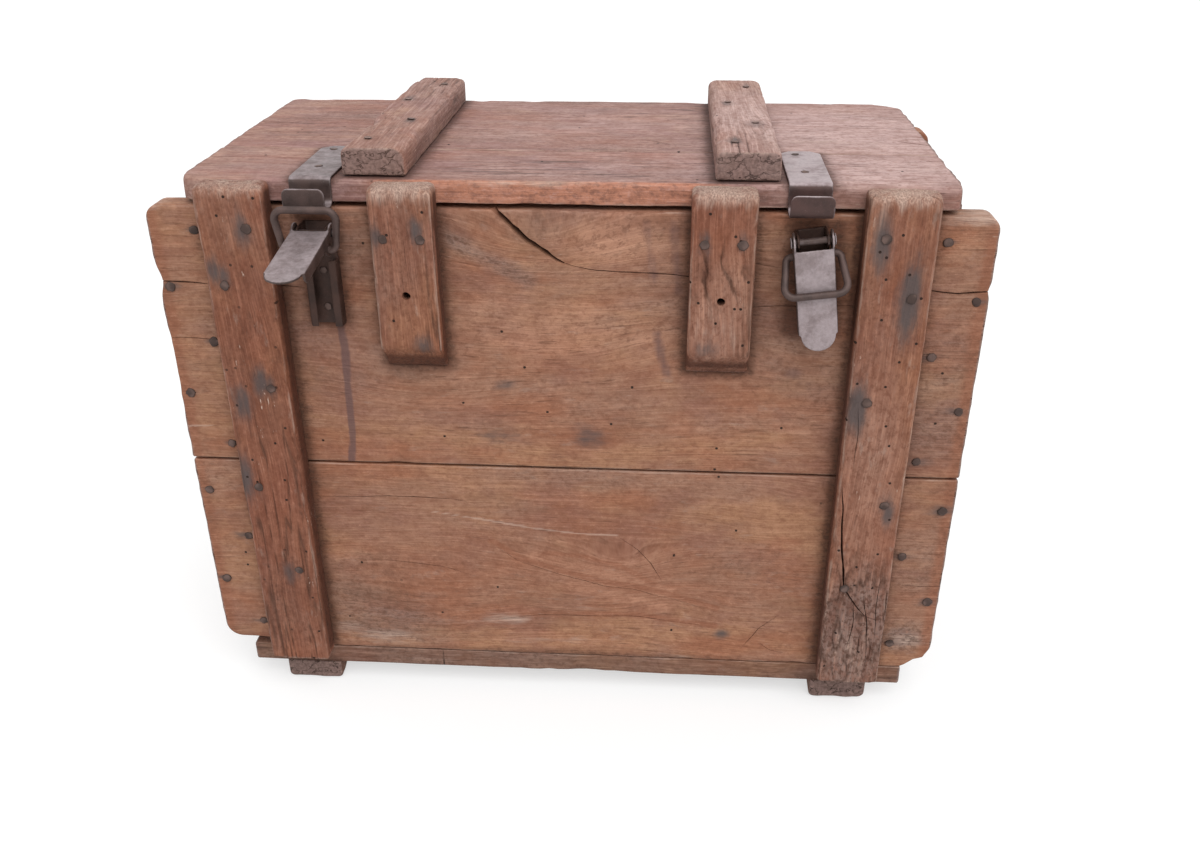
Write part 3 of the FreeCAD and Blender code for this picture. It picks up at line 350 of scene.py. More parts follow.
def finish_surface(graph, shader, roughness, height, strength, reach):
    """Feeds a shader with the graph's colour, a roughness and a bump."""
    bump = graph.add("ShaderNodeBump", {"Height": height, "Strength": strength, "Distance": reach})
    graph.put(shader.inputs["Base Color"], graph.colour)
    graph.put(shader.inputs["Roughness"], roughness)
    graph.put(shader.inputs["Normal"], bump.outputs["Normal"])


def tinted(colour, tint):
    return tuple(min(1.0, channel * factor) for channel, factor in zip(colour, tint))


def scaled(colour, factor):
    return tinted(colour, (factor, factor, factor))


def wood_material(name, base, fibre=0.18, streak=0.12, rings=0.20, grey=0.40, worms=0.05, wear=0.55,
                  flecks=0.10, rough=1.0, fade_and_sheen_tint=(1.62, 1.62, 1.62), rim=(0.86, 0.66, 0.58)):
    """Aged wood: grain, broad patches, worn edges, iron stains, worm holes, dirt, painted shade and painted
    sheen.

    The numbers are shares of the effects, wear is where edge wear begins, and two tints change the base: one
    for pale weathered patches and painted sheen, one for rims.
    """
    wood = wood_settings()
    made, graph, shader = new_material(name)
    place = graph.place()
    grain = graph.group(grain_group(), Place=place, Ring_Width=wood.ring_width)
    patches = graph.group(blotch_group(), Place=place)
    mottle = graph.streaks(place, (90.0, 140.0, 140.0), 5.0, 0.68)
    grit = graph.streaks(place, (240.0, 330.0, 330.0), 3.0, 0.65)
    dark = tinted(base, (0.52, 0.37, 0.31))
    graph.colour = base

    def frayed(mask, stretch, breakup, low, high):
        return graph.group(fray_group(), Place=place, Mask=graph.mask(mask), Stretch=stretch, Breakup=breakup,
                           Low=low, High=high)["Worn"]

    # Broad patches of colour
    graph.coat(patches["Golden"], 1.0, tinted(base, (1.20, 1.18, 1.02)))
    graph.coat(patches["Red"], 0.85, tinted(base, (0.98, 0.74, 0.62)))
    graph.coat(patches["Dusk"], 0.60, tinted(base, (0.70, 0.62, 0.72)))
    greyed = graph.math("MAXIMUM", graph.part(patches["Grey"], grey),
                        frayed("grey", (30.0, 60.0, 60.0), 0.7, 0.15, 0.95))
    graph.coat(greyed, 1.0, tuple(wood.weathered))
    # Pale weathered patches and painted sheen
    graph.coat(frayed("fade", (22.0, 44.0, 44.0), 1.0, 0.05, 1.05), 0.85, tinted(base, fade_and_sheen_tint))
    graph.coat(frayed("rim", (60.0, 60.0, 60.0), 0.6, 0.15, 0.85), 0.85, tinted(base, rim))

    # Mottling, grit and fibres: where each begins and is full, its share and its colour
    for texture, low, high, share, over in (
            (mottle, 0.56, 0.36, 0.34 * rough, dark),
            (mottle, 0.53, 0.70, 0.20 * rough, scaled(base, 1.6)),
            (grit, 0.50, 0.32, 0.40 * rough, dark),
            (grit, 0.55, 0.72, 0.28 * rough, scaled(base, 1.7)),
            (grain["Streak"], 0.62, 0.34, streak, dark),
            (grain["Fine"], 0.60, 0.34, fibre, dark),
            (grain["Fine"], 0.52, 0.72, fibre * 0.8, scaled(base, 1.55)),
            (grain["Fibre"], 0.66, 0.36, fibre, dark),
            (grain["Fibre"], 0.52, 0.74, fibre, scaled(base, 1.7))):
        graph.coat(graph.step(texture, low, high), share, over)
    graph.coat(grain["Rings"], rings, dark)
    graph.coat(grain["Ticks"], 0.36 * rough, scaled(dark, 0.6))
    graph.coat(patches["Scuff"], 0.34 * rough, scaled(wood.worn, 0.78))

    # Sawn ends with pores and drying checks
    pores = graph.streaks(place, (60.0, 420.0, 420.0), 3.0)
    sawn = graph.mix(graph.step(pores, 0.30, 0.70), scaled(wood.end_grain, 0.75),
                     scaled(wood.end_grain, 1.35))
    check = graph.streaks(place, (0.0, 46.0, 75.0), 3.0, 0.6)
    check = graph.step(graph.math("ABSOLUTE", graph.math("SUBTRACT", check, 0.5)), 0.014, 0.004)
    sawn = graph.mix(check, sawn, scaled(wood.end_grain, 0.20))
    graph.coat(graph.mask("end"), 0.85, sawn)
    graph.coat(patches["Dirt"], 0.30, scaled(base, 0.45))

    # Wear, stains, dirt, painted shade and painted sheen where the board's masks put them
    worn = frayed("wear", (40.0, 240.0, 240.0), 1.3, wear, wear + 0.5)
    bare = graph.mix(graph.step(grain["Fibre"], 0.3, 0.7), scaled(wood.worn, 0.66), tuple(wood.worn))
    graph.coat(worn, 0.62, bare)
    pale = graph.mix(graph.step(grain["Fibre"], 0.35, 0.65), scaled(wood.worn, 0.55), scaled(wood.worn, 1.15))
    graph.coat(frayed("bleach", (34.0, 150.0, 150.0), 1.25, 0.30, 0.95), 0.75, pale)
    graph.coat(frayed("drip", (12.0, 90.0, 90.0), 0.30, 0.30, 0.62), 0.80, tuple(wood.drip))
    graph.coat(frayed("stain", (60.0, 180.0, 180.0), 0.9, 0.12, 0.98), 0.92, tuple(wood.stain))
    # Dirt and painted shade: near other pieces, at the feet of the edges and in marked patches
    grime = frayed("grime", (24.0, 70.0, 70.0), 0.6, 0.15, 0.95)
    graph.coat(grime, 0.84, tinted(base, (0.27, 0.20, 0.18)))
    # Dark specks over the dirt, the painted shade and the greyed patches
    dark_specks = graph.math("MULTIPLY", graph.step(grit, 0.50, 0.40), graph.math("MAXIMUM", grime, greyed))
    graph.coat(dark_specks, 0.55, scaled(base, 0.20))
    # Painted shade in the bottoms of the fissures
    graph.coat(graph.mask("groove"), 0.72, scaled(base, 0.22))
    graph.coat(graph.mask("scar"), 0.75, scaled(wood.worn, 1.1))
    # Painted shade in the deep parts of splits and holes
    graph.coat(graph.mask("split"), 1.0, scaled(base, 0.10))
    worm = graph.group(speck_group(), Place=place, Scale=62.0, Size=0.075, Share=worms)["Spot"]
    worm = graph.math("MULTIPLY", worm, graph.step(graph.mask("grime"), 0.5, 0.2))
    graph.coat(worm, 1.0, scaled(base, 0.08))
    fleck = graph.streaks(place, (90.0, 520.0, 520.0), 3.0, 0.7)
    fleck = graph.math("MULTIPLY", graph.step(fleck, 0.64, 0.74), graph.step(patches["Dirt"], 0.0, 0.6))
    graph.coat(fleck, flecks * 4.0, scaled(wood.worn, 1.1))

    roughness = graph.step(grain["Fibre"], 0.25, 0.75, 0.84, 0.62)
    roughness = graph.math("ADD", roughness, graph.part(worn, 0.12), clamp=True)
    height = graph.part(grain["Fibre"], 0.40)
    for texture, share in ((grain["Streak"], 0.30), (grain["Fine"], 0.75), (grit, 0.55 * rough),
                           (grain["Rings"], -0.15), (grain["Ticks"], -0.5), (worm, -1.6),
                           (graph.part(check, graph.mask("end")), -1.2)):
        height = graph.math("ADD", height, graph.part(texture, share))
    finish_surface(graph, shader, roughness, height, 0.60, 0.0012)
    shader.inputs["Specular IOR Level"].default_value = 0.25
    return made


def steel_material(name, rubbed_and_lit, patina, metallic=0.35, rub_low=0.25, rust_share=0.12, shine=0.5):
    """Worn sheet steel: bright where worn by use and where a sheen is painted, brown elsewhere, with rust
    spots and fine scratches.
    """
    steel = steel_settings()
    made, graph, shader = new_material(name)
    place = graph.place()
    cloud = graph.noise(place, 60.0, 5.0, 0.6)
    mottle = graph.noise(place, 420.0, 4.0, 0.65)
    scratch = graph.streaks(place, (1900.0, 190.0, 1900.0), 2.0)
    tarnish = graph.noise(graph.shift(place, (0.7, 0.2, 0.4)), 75.0, 5.0, 0.65)
    rust = graph.step(graph.noise(graph.shift(place, (0.3, 0.1, 0.2)), 210.0, 4.0, 0.7), 0.60, 0.72)
    # Places worn bright, and the painted sheen, from the fitting's wear mask
    rub_and_sheen = graph.group(fray_group(), Place=place, Mask=graph.mask("wear"), Stretch=(130.0, 130.0, 130.0),
                      Breakup=0.7, Low=rub_low, High=rub_low + 0.65)["Worn"]
    bright = graph.mix(graph.step(mottle, 0.30, 0.70), scaled(rubbed_and_lit, 0.88), scaled(rubbed_and_lit, 1.08))
    graph.colour = graph.mix(graph.step(cloud, 0.32, 0.68), scaled(patina, 0.70), scaled(patina, 1.35))
    graph.coat(rub_and_sheen, 0.92, bright)
    graph.coat(graph.step(tarnish, 0.44, 0.66), 0.42, scaled(patina, 1.6))
    graph.coat(rust, rust_share * 2.0, tuple(steel.rust))
    graph.coat(graph.step(scratch, 0.66, 0.76), 0.20, scaled(rubbed_and_lit, 1.3))
    # Dirt and painted shade in the hollows
    graph.coat(graph.mask("grime"), 0.75, scaled(patina, 0.35))
    roughness = graph.step(cloud, 0.25, 0.75, 0.44, 0.66)
    height = graph.math("ADD", graph.part(mottle, 0.6), graph.part(scratch, 0.25))
    height = graph.math("SUBTRACT", height, graph.part(rust, 0.3))
    finish_surface(graph, shader, roughness, height, 0.35, 0.0005)
    shader.inputs["Metallic"].default_value = metallic
    shader.inputs["Specular IOR Level"].default_value = shine
    return made


# Each wood is the setting that holds its base colour, and what its material has apart from the usual.
WOODS = {
    "plank_wood": ("plank", {}),
    "batten_wood": ("batten", {"fibre": 0.30, "streak": 0.24, "rings": 0.30, "grey": 0.30, "worms": 0.34,
                               "wear": 0.36, "flecks": 0.38, "rough": 1.25, "fade_and_sheen_tint": (1.50, 1.82, 2.05)}),
    "lid_wood": ("lid", {"fibre": 0.24, "streak": 0.16, "rings": 0.18, "grey": 0.34, "worms": 0.03,
                         "wear": 0.50, "flecks": 0.20, "rough": 1.2, "fade_and_sheen_tint": (1.75, 2.08, 2.26),
                         "rim": (1.52, 1.0, 0.66)}),
    "lid_batten_wood": ("lid_batten", {"fibre": 0.30, "streak": 0.22, "rings": 0.22, "worms": 0.10,
                                       "wear": 0.50, "flecks": 0.24, "rough": 1.2,
                                       "fade_and_sheen_tint": (1.55, 1.82, 1.98)}),
    "floor_wood": ("floor", {"fibre": 0.30, "streak": 0.28, "rings": 0.28, "grey": 0.55, "worms": 0.08}),
}
NAIL_FINISH = {"metallic": 0.0, "rub_low": 0.4, "rust_share": 0.2, "shine": 0.2}


def steel_look(name):
    """A steel's rubbed colour, its dull colour, and what its material has apart from the usual."""
    steel = steel_settings()
    rubbed_and_lit, patina, nail = tuple(steel.rubbed_and_lit), tuple(steel.patina), tuple(steel.nail)
    return {
        "latch_steel": (rubbed_and_lit, patina, {}),
        # The right hook's steel: the latch steel painted brighter, as lit more, with a less red patina
        "strap_steel": (scaled(rubbed_and_lit, 1.2), tinted(patina, (0.92, 0.76, 0.76)), {}),
        "base_steel": (scaled(rubbed_and_lit, 0.8), tinted(patina, (0.8, 0.68, 0.6)),
                       {"metallic": 0.1, "shine": 0.25}),
        "wire_steel": (scaled(rubbed_and_lit, 0.75), scaled(patina, 1.25), {"rub_low": 0.42}),
        "hinge_iron": (scaled(rubbed_and_lit, 0.75), scaled(patina, 0.85),
                       {"metallic": 0.4, "rub_low": 0.5, "rust_share": 0.4}),
        "pale_nail_iron": (scaled(nail, 2.4), scaled(nail, 1.6), NAIL_FINISH),
        "nail_iron": (scaled(nail, 1.5), scaled(nail, 0.8), NAIL_FINISH),
    }[name]


@functools.cache
def material(name):
    """The named finish, made when it is first asked for."""
    if name in WOODS:
        base, settings = WOODS[name]
        return wood_material(name, tuple(getattr(wood_settings(), base)), **settings)
    rubbed_and_lit, patina, settings = steel_look(name)
    return steel_material(name, rubbed_and_lit, patina, **settings)


# Boards

NEAR_EDGE = np.array((0.0, 0.5, 1.2, 2.2, 3.6, 5.5)) * MM
NEAR_END = np.array((0.0, 0.2, 0.6, 1.2, 2.0, 3.2, 5.0, 7.0, 9.5, 12.5)) * MM
CAP_RINGS = (0.42, 0.27, 0.12)
END_FALL = 55 * MM
BOARD_CREASE = math.radians(46)
HEAD_CREASE = math.radians(50)


def spread(length, step, near):
    """Places from 0 to length: close together near both ends, a step apart between them."""
    inner = np.linspace(0.0, length, max(2, int(round(length / step)) + 1))
    near = near[near < length * 0.45]
    middle = inner[(inner > near[-1] * 1.3) & (inner < length - near[-1] * 1.3)]
    return np.unique(np.round(np.concatenate((near, length - near, middle)), 6))


def drift(values, scale, seed, octaves=3):
    """Soft random numbers from about -1 to 1 along a line."""
    return np.array([noise.fractal(Vector((value * scale, seed * 1.7, seed * 0.3)), 1.0, 2.0, octaves)
                     for value in values])


def drift_field(points, scales, seed, octaves=2):
    """Soft random numbers from about -1 to 1 over an array of points."""
    moved = points * np.array(scales) + np.array((seed * 1.7, -seed * 0.9, seed * 0.3))
    return np.array([noise.fractal(Vector(point), 1.0, 2.0, octaves) for point in moved])


def ease(values, low, high):
    """A smooth step from 0 at low to 1 at high."""
    share = np.clip((values - low) / (high - low), 0.0, 1.0)
    return share * share * (3.0 - 2.0 * share)


def round_off(distance, radius):
    """How far a round corner pulls an edge in, at a distance from where it begins."""
    short = np.clip(radius - distance, 0.0, radius)
    return radius - np.sqrt(np.maximum(radius ** 2 - short ** 2, 0.0))


class Board:
    """A CAD board's own frame: along its grain, across it and out through its face."""

    def __init__(self, node, grain, face):
        low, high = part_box(node)
        size = high - low
        across = face.cross(grain)
        self.length = abs(size.dot(grain))
        self.width = abs(size.dot(across))
        self.thick = abs(size.dot(face))
        self.origin = np.array((low + high) / 2 - grain * self.length / 2 - face * self.thick / 2)
        self.axes = np.array((grain, across, face))

    def trim(self, amount):
        """Shortens the board at the end where its grain begins."""
        self.origin = self.origin + self.axes[0] * amount
        self.length -= amount

    def local(self, points):
        """Points of the trunk's frame as along, across and out."""
        return (np.asarray(points, float) - self.origin) @ self.axes.T

    def world(self, points):
        return np.asarray(points, float) @ self.axes + self.origin

    def in_trunk(self, pair):
        """Three coordinates from the two that lie in the face."""
        full = list(pair)
        full.insert(int(np.argmax(np.abs(self.axes[2]))), 0.0)
        return np.array(full)

    def on_face(self, place):
        """Along and across, from the two coordinates of the trunk that lie in the face, in millimetres."""
        return tuple(self.local(self.in_trunk(value * MM for value in place))[:2])

    def on_face_size(self, size):
        """A patch's size along and across, from its sizes along the same two coordinates."""
        return np.abs(self.in_trunk(size) @ self.axes.T)[:2]


def board_section(board, face_step, back_step):
    """Places round a board's section, across and out, from one side of its face round to the other."""
    half = board.width / 2
    face = spread(board.width, face_step, NEAR_EDGE) - half
    back = spread(board.width, back_step, NEAR_EDGE)[::-1] - half
    edge = spread(board.thick, 3 * MM, NEAR_EDGE)
    across = np.concatenate((face, np.full(len(edge) - 1, half), back[1:], np.full(len(edge) - 2, -half)))
    out = np.concatenate((np.full(len(face), board.thick), edge[::-1][1:], np.zeros(len(back) - 1),
                          edge[1:-1]))
    return across, out


def worn_radius(places, radius, seed):
    """An edge's wear along a board: a wandering radius with a chip here and there."""
    wander = 0.7 + 0.7 * np.abs(drift(places, 14.0, seed))
    chips = np.clip(drift(places, 32.0, seed + 2.0) - 0.22, 0.0, 1.0) * 2.6
    return radius * (wander + chips)


def soften_corner(u, v, corner_u, corner_v, way_u, way_v, radius, bevel):
    """Pulls the points near one corner of a section onto an arc, or partly onto a bevel."""
    du = (corner_u - u) * way_u
    dv = (corner_v - v) * way_v
    near = (du < radius) & (dv < radius)
    size = np.hypot(du - radius, dv - radius) + 1e-9
    a = (du - radius) / size
    b = (dv - radius) / size
    reach = radius * (1.0 - bevel + bevel / np.maximum(np.abs(a + b), 1.0))
    return (np.where(near, corner_u - (radius + a * reach) * way_u, u),
            np.where(near, corner_v - (radius + b * reach) * way_v, v))


def board_relief(points, seed, swell, fibre, fissure):
    """How far time has sunk each point of a board's skin, and which points lie in a fissure."""
    slow = drift_field(points, (6.0, 22.0, 22.0), seed)
    streak = drift_field(points, (10.0, 330.0, 330.0), seed + 5.0)
    crossing = np.abs(drift_field(points, (5.0, 120.0, 120.0), seed + 9.0))
    zone = ease(drift_field(points, (4.0, 16.0, 16.0), seed + 13.0), -0.05, 0.40)
    opened = ease(crossing, 0.085, 0.0) * zone
    opened = opened if fissure > 0 else np.zeros(len(points))
    sink = swell * (0.5 + 0.5 * slow) + fibre * (0.5 + 0.5 * streak) + fissure * opened
    return np.maximum(sink, 0.0), opened


def board_grid(board, plan, seed):
    """Rows of points along a board: worn at its four long edges, ragged at its ends, sunk and fissured."""
    face_step, along_step, back_step = (step * MM for step in plan["steps"])
    base_across, base_out = board_section(board, face_step, back_step)
    along = spread(board.length, along_step, NEAR_END)
    pulls = {name: np.zeros(len(along)) for name in ("low", "high", "back", "face")}
    if plan["shape"]:
        plan["shape"](board, along, pulls)
    ends = round_off(np.minimum(along, board.length - along), plan["end_round"] * MM)
    limits = np.stack((-board.width / 2 + pulls["low"] + ends, board.width / 2 - pulls["high"] - ends,
                       pulls["back"] + ends, board.thick - pulls["face"] - ends), axis=1)
    # Each end is closed by rings that step inward from the first and last row.
    rows = [(along[0], limits[0], share) for share in CAP_RINGS]
    rows += [(place, limit, 0.0) for place, limit in zip(along, limits)]
    rows += [(along[-1], limits[-1], share) for share in reversed(CAP_RINGS)]
    places = np.array([row[0] for row in rows])
    wear = [worn_radius(places, radius * MM, seed + corner * 3.1)
            for corner, radius in enumerate(plan["edges"])]
    grid = np.zeros((len(rows), len(base_across), 3))
    for index, (place, limit, share) in enumerate(rows):
        inset = share * (limit[3] - limit[2])
        low, high, back, face = limit + inset * np.array((1, -1, 1, -1))
        u = low + (base_across / board.width + 0.5) * (high - low)
        v = back + base_out / board.thick * (face - back)
        for corner, (u_way, v_way) in enumerate(((-1, 1), (1, 1), (1, -1), (-1, -1))):
            radius = min(wear[corner][index] * (1.0 - share), 0.48 * (face - back), 0.48 * (high - low))
            u, v = soften_corner(u, v, high if u_way > 0 else low, face if v_way > 0 else back, u_way, v_way,
                                 radius, plan["bevel"])
        grid[index] = np.stack((np.full(len(u), place), u, v), axis=1)
    points = grid.reshape(-1, 3)
    depths = [depth * MM * wood_settings().relief for depth in plan["relief"]]
    sink, opened = board_relief(points, seed, *depths)
    on_face = np.clip(points[:, 2] / board.thick * 2 - 1, -1, 1)
    on_edge = np.clip(points[:, 1] / board.width * 2, -1, 1)
    points[:, 2] -= sink * np.sign(on_face) * np.abs(on_face) ** 6
    points[:, 1] -= sink * np.sign(on_edge) * np.abs(on_edge) ** 24
    for end, way in ((0, 1), (1, -1)):
        distance = points[:, 0] if end == 0 else board.length - points[:, 0]
        gone = plan["ragged"] * MM * np.abs(drift_field(points, (0.0, 34.0, 9.0), seed + 17.0 + end, 3))
        rough = 0.3 * MM * np.abs(drift_field(points, (0.0, 300.0, 300.0), seed))
        gone += np.where(distance < 0.1 * MM, rough, 0.0)
        for at_end, place, breadth, depth in plan["notches"]:
            if at_end == end:
                across = board.on_face(place)[1]
                gone += depth * MM * np.exp(-((points[:, 1] - across) / (breadth * MM)) ** 2)
        points[:, 0] += way * gone * np.clip(1.0 - distance / END_FALL, 0.0, 1.0)
    return grid.shape[:2], points, opened


def tube_faces(rows, ring):
    """The faces of a closed tube, from rows of points: quads along it and a face at each end."""
    index = np.arange(rows * ring).reshape(rows, ring)
    beside = np.roll(index, -1, axis=1)
    quads = np.stack((index[:-1], index[1:], beside[1:], beside[:-1]), axis=-1).reshape(-1, 4).tolist()
    return quads + [index[0].tolist(), index[-1][::-1].tolist()]


# Cutters begin this far outside the face they cut.
CUTTER_RISE = 1.5 * MM


def split_cutter(board, path, width, depth, seed):
    """A thin wedge along a path on a board's face, wandering a little and closing at both ends."""
    path = [Vector((*point, 0.0)) for point in path]
    total = sum((after - before).length for before, after in zip(path, path[1:]))
    steps = max(4, int(total / (5 * MM)))
    places = []
    for step in range(steps + 1):
        wanted = total * step / steps
        for before, after in zip(path, path[1:]):
            run = (after - before).length
            if wanted <= run + 1e-9:
                places.append(before.lerp(after, min(1.0, wanted / run)))
                break
            wanted -= run
    top = board.thick + CUTTER_RISE
    rings = []
    for step, place in enumerate(places):
        ahead = places[min(step + 1, len(places) - 1)]
        behind = places[max(step - 1, 0)]
        way = (ahead - behind).normalized()
        side = Vector((-way.y, way.x, 0.0))
        share = step / steps
        swell = math.sin(math.pi * min(1.0, 0.04 + 0.92 * share)) ** 0.6
        stray = noise.noise(Vector((share * total * 45, seed, 1.3))) * (0.5 * MM + width * 0.25)
        uneven = 0.8 + 0.4 * noise.noise(Vector((share * total * 150, seed, 7)))
        half = max(0.05 * MM, width / 2 * swell * uneven)
        centre = place + side * stray
        reach = depth * swell
        flare = 1.0 + CUTTER_RISE / max(reach, 0.5 * MM)
        rings.append(((centre - side * half * flare, top), (centre + side * half * flare, top),
                      (centre + side * half * 0.2, top - CUTTER_RISE - reach)))
    corners = [(point.x, point.y, height) for ring in rings for point, height in ring]
    return corners, tube_faces(len(rings), 3)


def bore_cutter(board, place, radius, depth):
    """A slightly worn round hole into a board's face."""
    sides = 18
    corners = []
    for height in (board.thick + CUTTER_RISE, board.thick - depth):
        for step in range(sides):
            angle = -2 * math.pi * step / sides
            worn = radius * (1.0 + 0.05 * math.sin(3 * angle))
            corners.append((place[0] + worn * math.cos(angle), place[1] + worn * math.sin(angle), height))
    return corners, tube_faces(2, sides)


def evaluated_copy(piece):
    """A piece's mesh with its modifiers applied."""
    graph = bpy.context.evaluated_depsgraph_get()
    return bpy.data.meshes.new_from_object(piece.evaluated_get(graph), depsgraph=graph)


def link(piece):
    bpy.context.scene.collection.objects.link(piece)
    return piece


def closed_mesh(name, corners, faces):
    """A mesh from corners and faces, with its faces turned outward."""
    mesh = bpy.data.meshes.new(name)
    mesh.from_pydata(corners, [], faces)
    build = bmesh.new()
    build.from_mesh(mesh)
    bmesh.ops.recalc_face_normals(build, faces=build.faces)
    build.to_mesh(mesh)
    build.free()
    return mesh


def cut(mesh, cutters):
    """Takes cutters, each a list of corners and faces, out of a mesh."""
    block = link(bpy.data.objects.new("block_to_cut", mesh))
    for corners, faces in cutters:
        blade = link(bpy.data.objects.new("blade", closed_mesh("blade", corners, faces)))
        boolean = block.modifiers.new("cut", "BOOLEAN")
        boolean.operation = "DIFFERENCE"
        boolean.solver = "MANIFOLD"
        boolean.object = blade
        blade.hide_render = True
    bpy.context.view_layer.update()
    result = evaluated_copy(block)
    blades = [modifier.object for modifier in block.modifiers]
    for used in (block, *blades):
        bpy.data.objects.remove(used)
    return result


def box_distance(points, low, high):
    """Distance of points from an upright box, 0 inside it."""
    outside = np.maximum(np.maximum(np.array(low) - points, points - np.array(high)), 0.0)
    return np.sqrt((outside ** 2).sum(axis=1))


def shade_near_pieces(points, nodes, reach):
    """Painted shade on a surface near where other pieces stand on it, deepest next to them."""
    dirt = np.zeros(len(points))
    for node in nodes:
        low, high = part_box(node)
        dirt = np.maximum(dirt, np.exp(-box_distance(points, low, high) / reach))
    return dirt


def write_mask(mesh, name, values):
    layer = mesh.attributes.new(name, "FLOAT", "POINT")
    layer.data.foreach_set("value", np.asarray(values, np.float32))


def write_place(mesh, values):
    layer = mesh.attributes.new("place", "FLOAT_VECTOR", "POINT")
    layer.data.foreach_set("vector", np.asarray(values, np.float32).ravel())


def mesh_points(mesh):
    points = np.zeros(len(mesh.vertices) * 3, np.float32)
    mesh.vertices.foreach_get("co", points)
    return points.reshape(-1, 3).astype(float)


def set_points(mesh, points):
    mesh.vertices.foreach_set("co", np.asarray(points, np.float32).ravel())
    mesh.update()


def polyline_distance(points, path):
    """Distance of flat points from a path of straight runs."""
    nearest = np.full(len(points), 1e9)
    for before, after in zip(path, path[1:]):
        start = np.array(before)
        run = np.array(after) - start
        share = np.clip(((points - start) @ run) / (run @ run), 0.0, 1.0)
        nearest = np.minimum(nearest, np.linalg.norm(points - start - share[:, None] * run, axis=1))
    return nearest


def mark_mask(local, where, size, strength):
    """A mark on a board's face: a patch at a place, or a line along a path."""
    if isinstance(where[0], tuple):
        return strength * np.exp(-(polyline_distance(local[:, :2], where) / size) ** 2)
    offset = (local[:, :2] - np.array(where)) / np.array(size)
    return strength * np.exp(-(offset ** 2).sum(axis=1))


# A stain fades out this far below a board's face, and is made by the nails that end that near to it.
STAIN_DEPTH = 4 * MM
NAIL_GROUPS = ("front_nails", "back_nails", "end_nails", "floor_nails", "skid_nails", "lid_nails")


def islands(mesh):
    """The separate lumps of a mesh, as arrays of vertex numbers."""
    parent = list(range(len(mesh.vertices)))

    def root(item):
        while parent[item] != item:
            parent[item] = parent[parent[item]]
            item = parent[item]
        return item

    for edge in mesh.edges:
        first, second = root(edge.vertices[0]), root(edge.vertices[1])
        parent[first] = second
    lumps = {}
    for item in range(len(parent)):
        lumps.setdefault(root(item), []).append(item)
    return list(lumps.values())


def welded_copy(node, reach):
    """A CAD node's mesh with the corners joined that lie within reach of each other."""
    build = bmesh.new()
    build.from_mesh(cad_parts[node].data)
    bmesh.ops.remove_doubles(build, verts=build.verts, dist=reach)
    mesh = bpy.data.meshes.new("welded")
    build.to_mesh(mesh)
    build.free()
    return mesh


def lump_points(node):
    """The corner points of each separate solid of a CAD node."""
    mesh = welded_copy(node, 0.02 * MM)
    points = mesh_points(mesh)
    lumps = [points[lump] for lump in islands(mesh)]
    bpy.data.meshes.remove(mesh)
    return lumps


@functools.cache
def nail_seats(node):
    """Where each nail of a group is driven: the middle of its head, the way out and its sizes."""
    seats = []
    for lump in lump_points(node):
        middle = (lump.min(axis=0) + lump.max(axis=0)) / 2
        spans = lump.max(axis=0) - lump.min(axis=0)
        # The shank is the longest span; the head is the wider end of it.
        axis = int(np.argmax(spans))
        others = [index for index in range(3) if index != axis]
        high_end = lump[lump[:, axis] > middle[axis]]
        low_end = lump[lump[:, axis] < middle[axis]]
        wide_high = np.ptp(high_end[:, others], axis=0).max()
        wide_low = np.ptp(low_end[:, others], axis=0).max()
        sign = 1.0 if wide_high > wide_low else -1.0
        out = np.zeros(3)
        out[axis] = sign
        top = lump[:, axis].max() if sign > 0 else lump[:, axis].min()
        head = middle.copy()
        head[axis] = top
        seats.append({"top": head, "out": out, "width": max(wide_high, wide_low), "length": spans[axis]})
    return seats


def nail_stains(board, local, size, strength, seed):
    """Iron stains along the grain round every nail driven into a board's face."""
    stain = np.zeros(len(local))
    draw = random.Random(seed)
    depth = np.clip((board.thick - local[:, 2]) / STAIN_DEPTH, 0.0, 1.0)
    for group in NAIL_GROUPS:
        for seat in nail_seats(group):
            place = board.local([seat["top"]])[0]
            inside = 0 < place[0] < board.length and abs(place[1]) < board.width / 2
            outward = np.dot(seat["out"], board.axes[2]) > 0.9
            if not (inside and outward and abs(place[2] - board.thick) <= STAIN_DEPTH):
                continue
            grown = draw.uniform(0.55, 1.25)
            along = (local[:, 0] - place[0] - draw.uniform(-0.5, 0.5) * size[0]) / (size[0] * grown)
            across = (local[:, 1] - place[1]) / (size[1] * grown)
            halo = draw.uniform(0.5, 1.0) * strength * np.exp(-(along ** 2 + across ** 2))
            stain = np.maximum(stain, halo * (1.0 - depth))
    return stain


# A plank's ends are darker and redder: end wear, with painted shade where they round off.
PLANK = {"slot": "plank_wood", "steps": (1.3, 4.0, 12.0), "edges": (1.5, 1.5, 1.2, 1.2),
         "relief": (0.45, 0.09, 0.0), "stain": ((11, 4.4), 0.95), "rims": (("ends", 10.0, 1.2, (-1, 2)),)}
BATTEN = {"slot": "batten_wood", "steps": (0.9, 3.5, 8.0), "edges": (3.6, 3.6, 1.5, 1.5), "bevel": 0.5,
          "end_round": 2.0, "ragged": 0.8, "relief": (0.9, 0.26, 0.9), "stain": ((13, 7), 0.95),
          "foot_dirt": 1.0}
LID = {"slot": "lid_wood", "steps": (1.2, 4.0, 12.0), "end_round": 3.0, "ragged": 2.2,
       "relief": (0.6, 0.14, 0.22), "stain": ((8, 4), 0.6), "mark_depth": 9.0}
FLOOR = {"slot": "floor_wood", "steps": (3.0, 8.0, 6.0), "edges": (2.0, 2.0, 1.6, 1.6), "end_round": 1.8,
         "ragged": 1.5, "relief": (0.6, 0.2, 0.5), "stain": ((9, 5), 0.6)}

# Mesh steps of the planks at the back and the ends
HIDDEN_STEPS = (2.2, 6.0, 12.0)

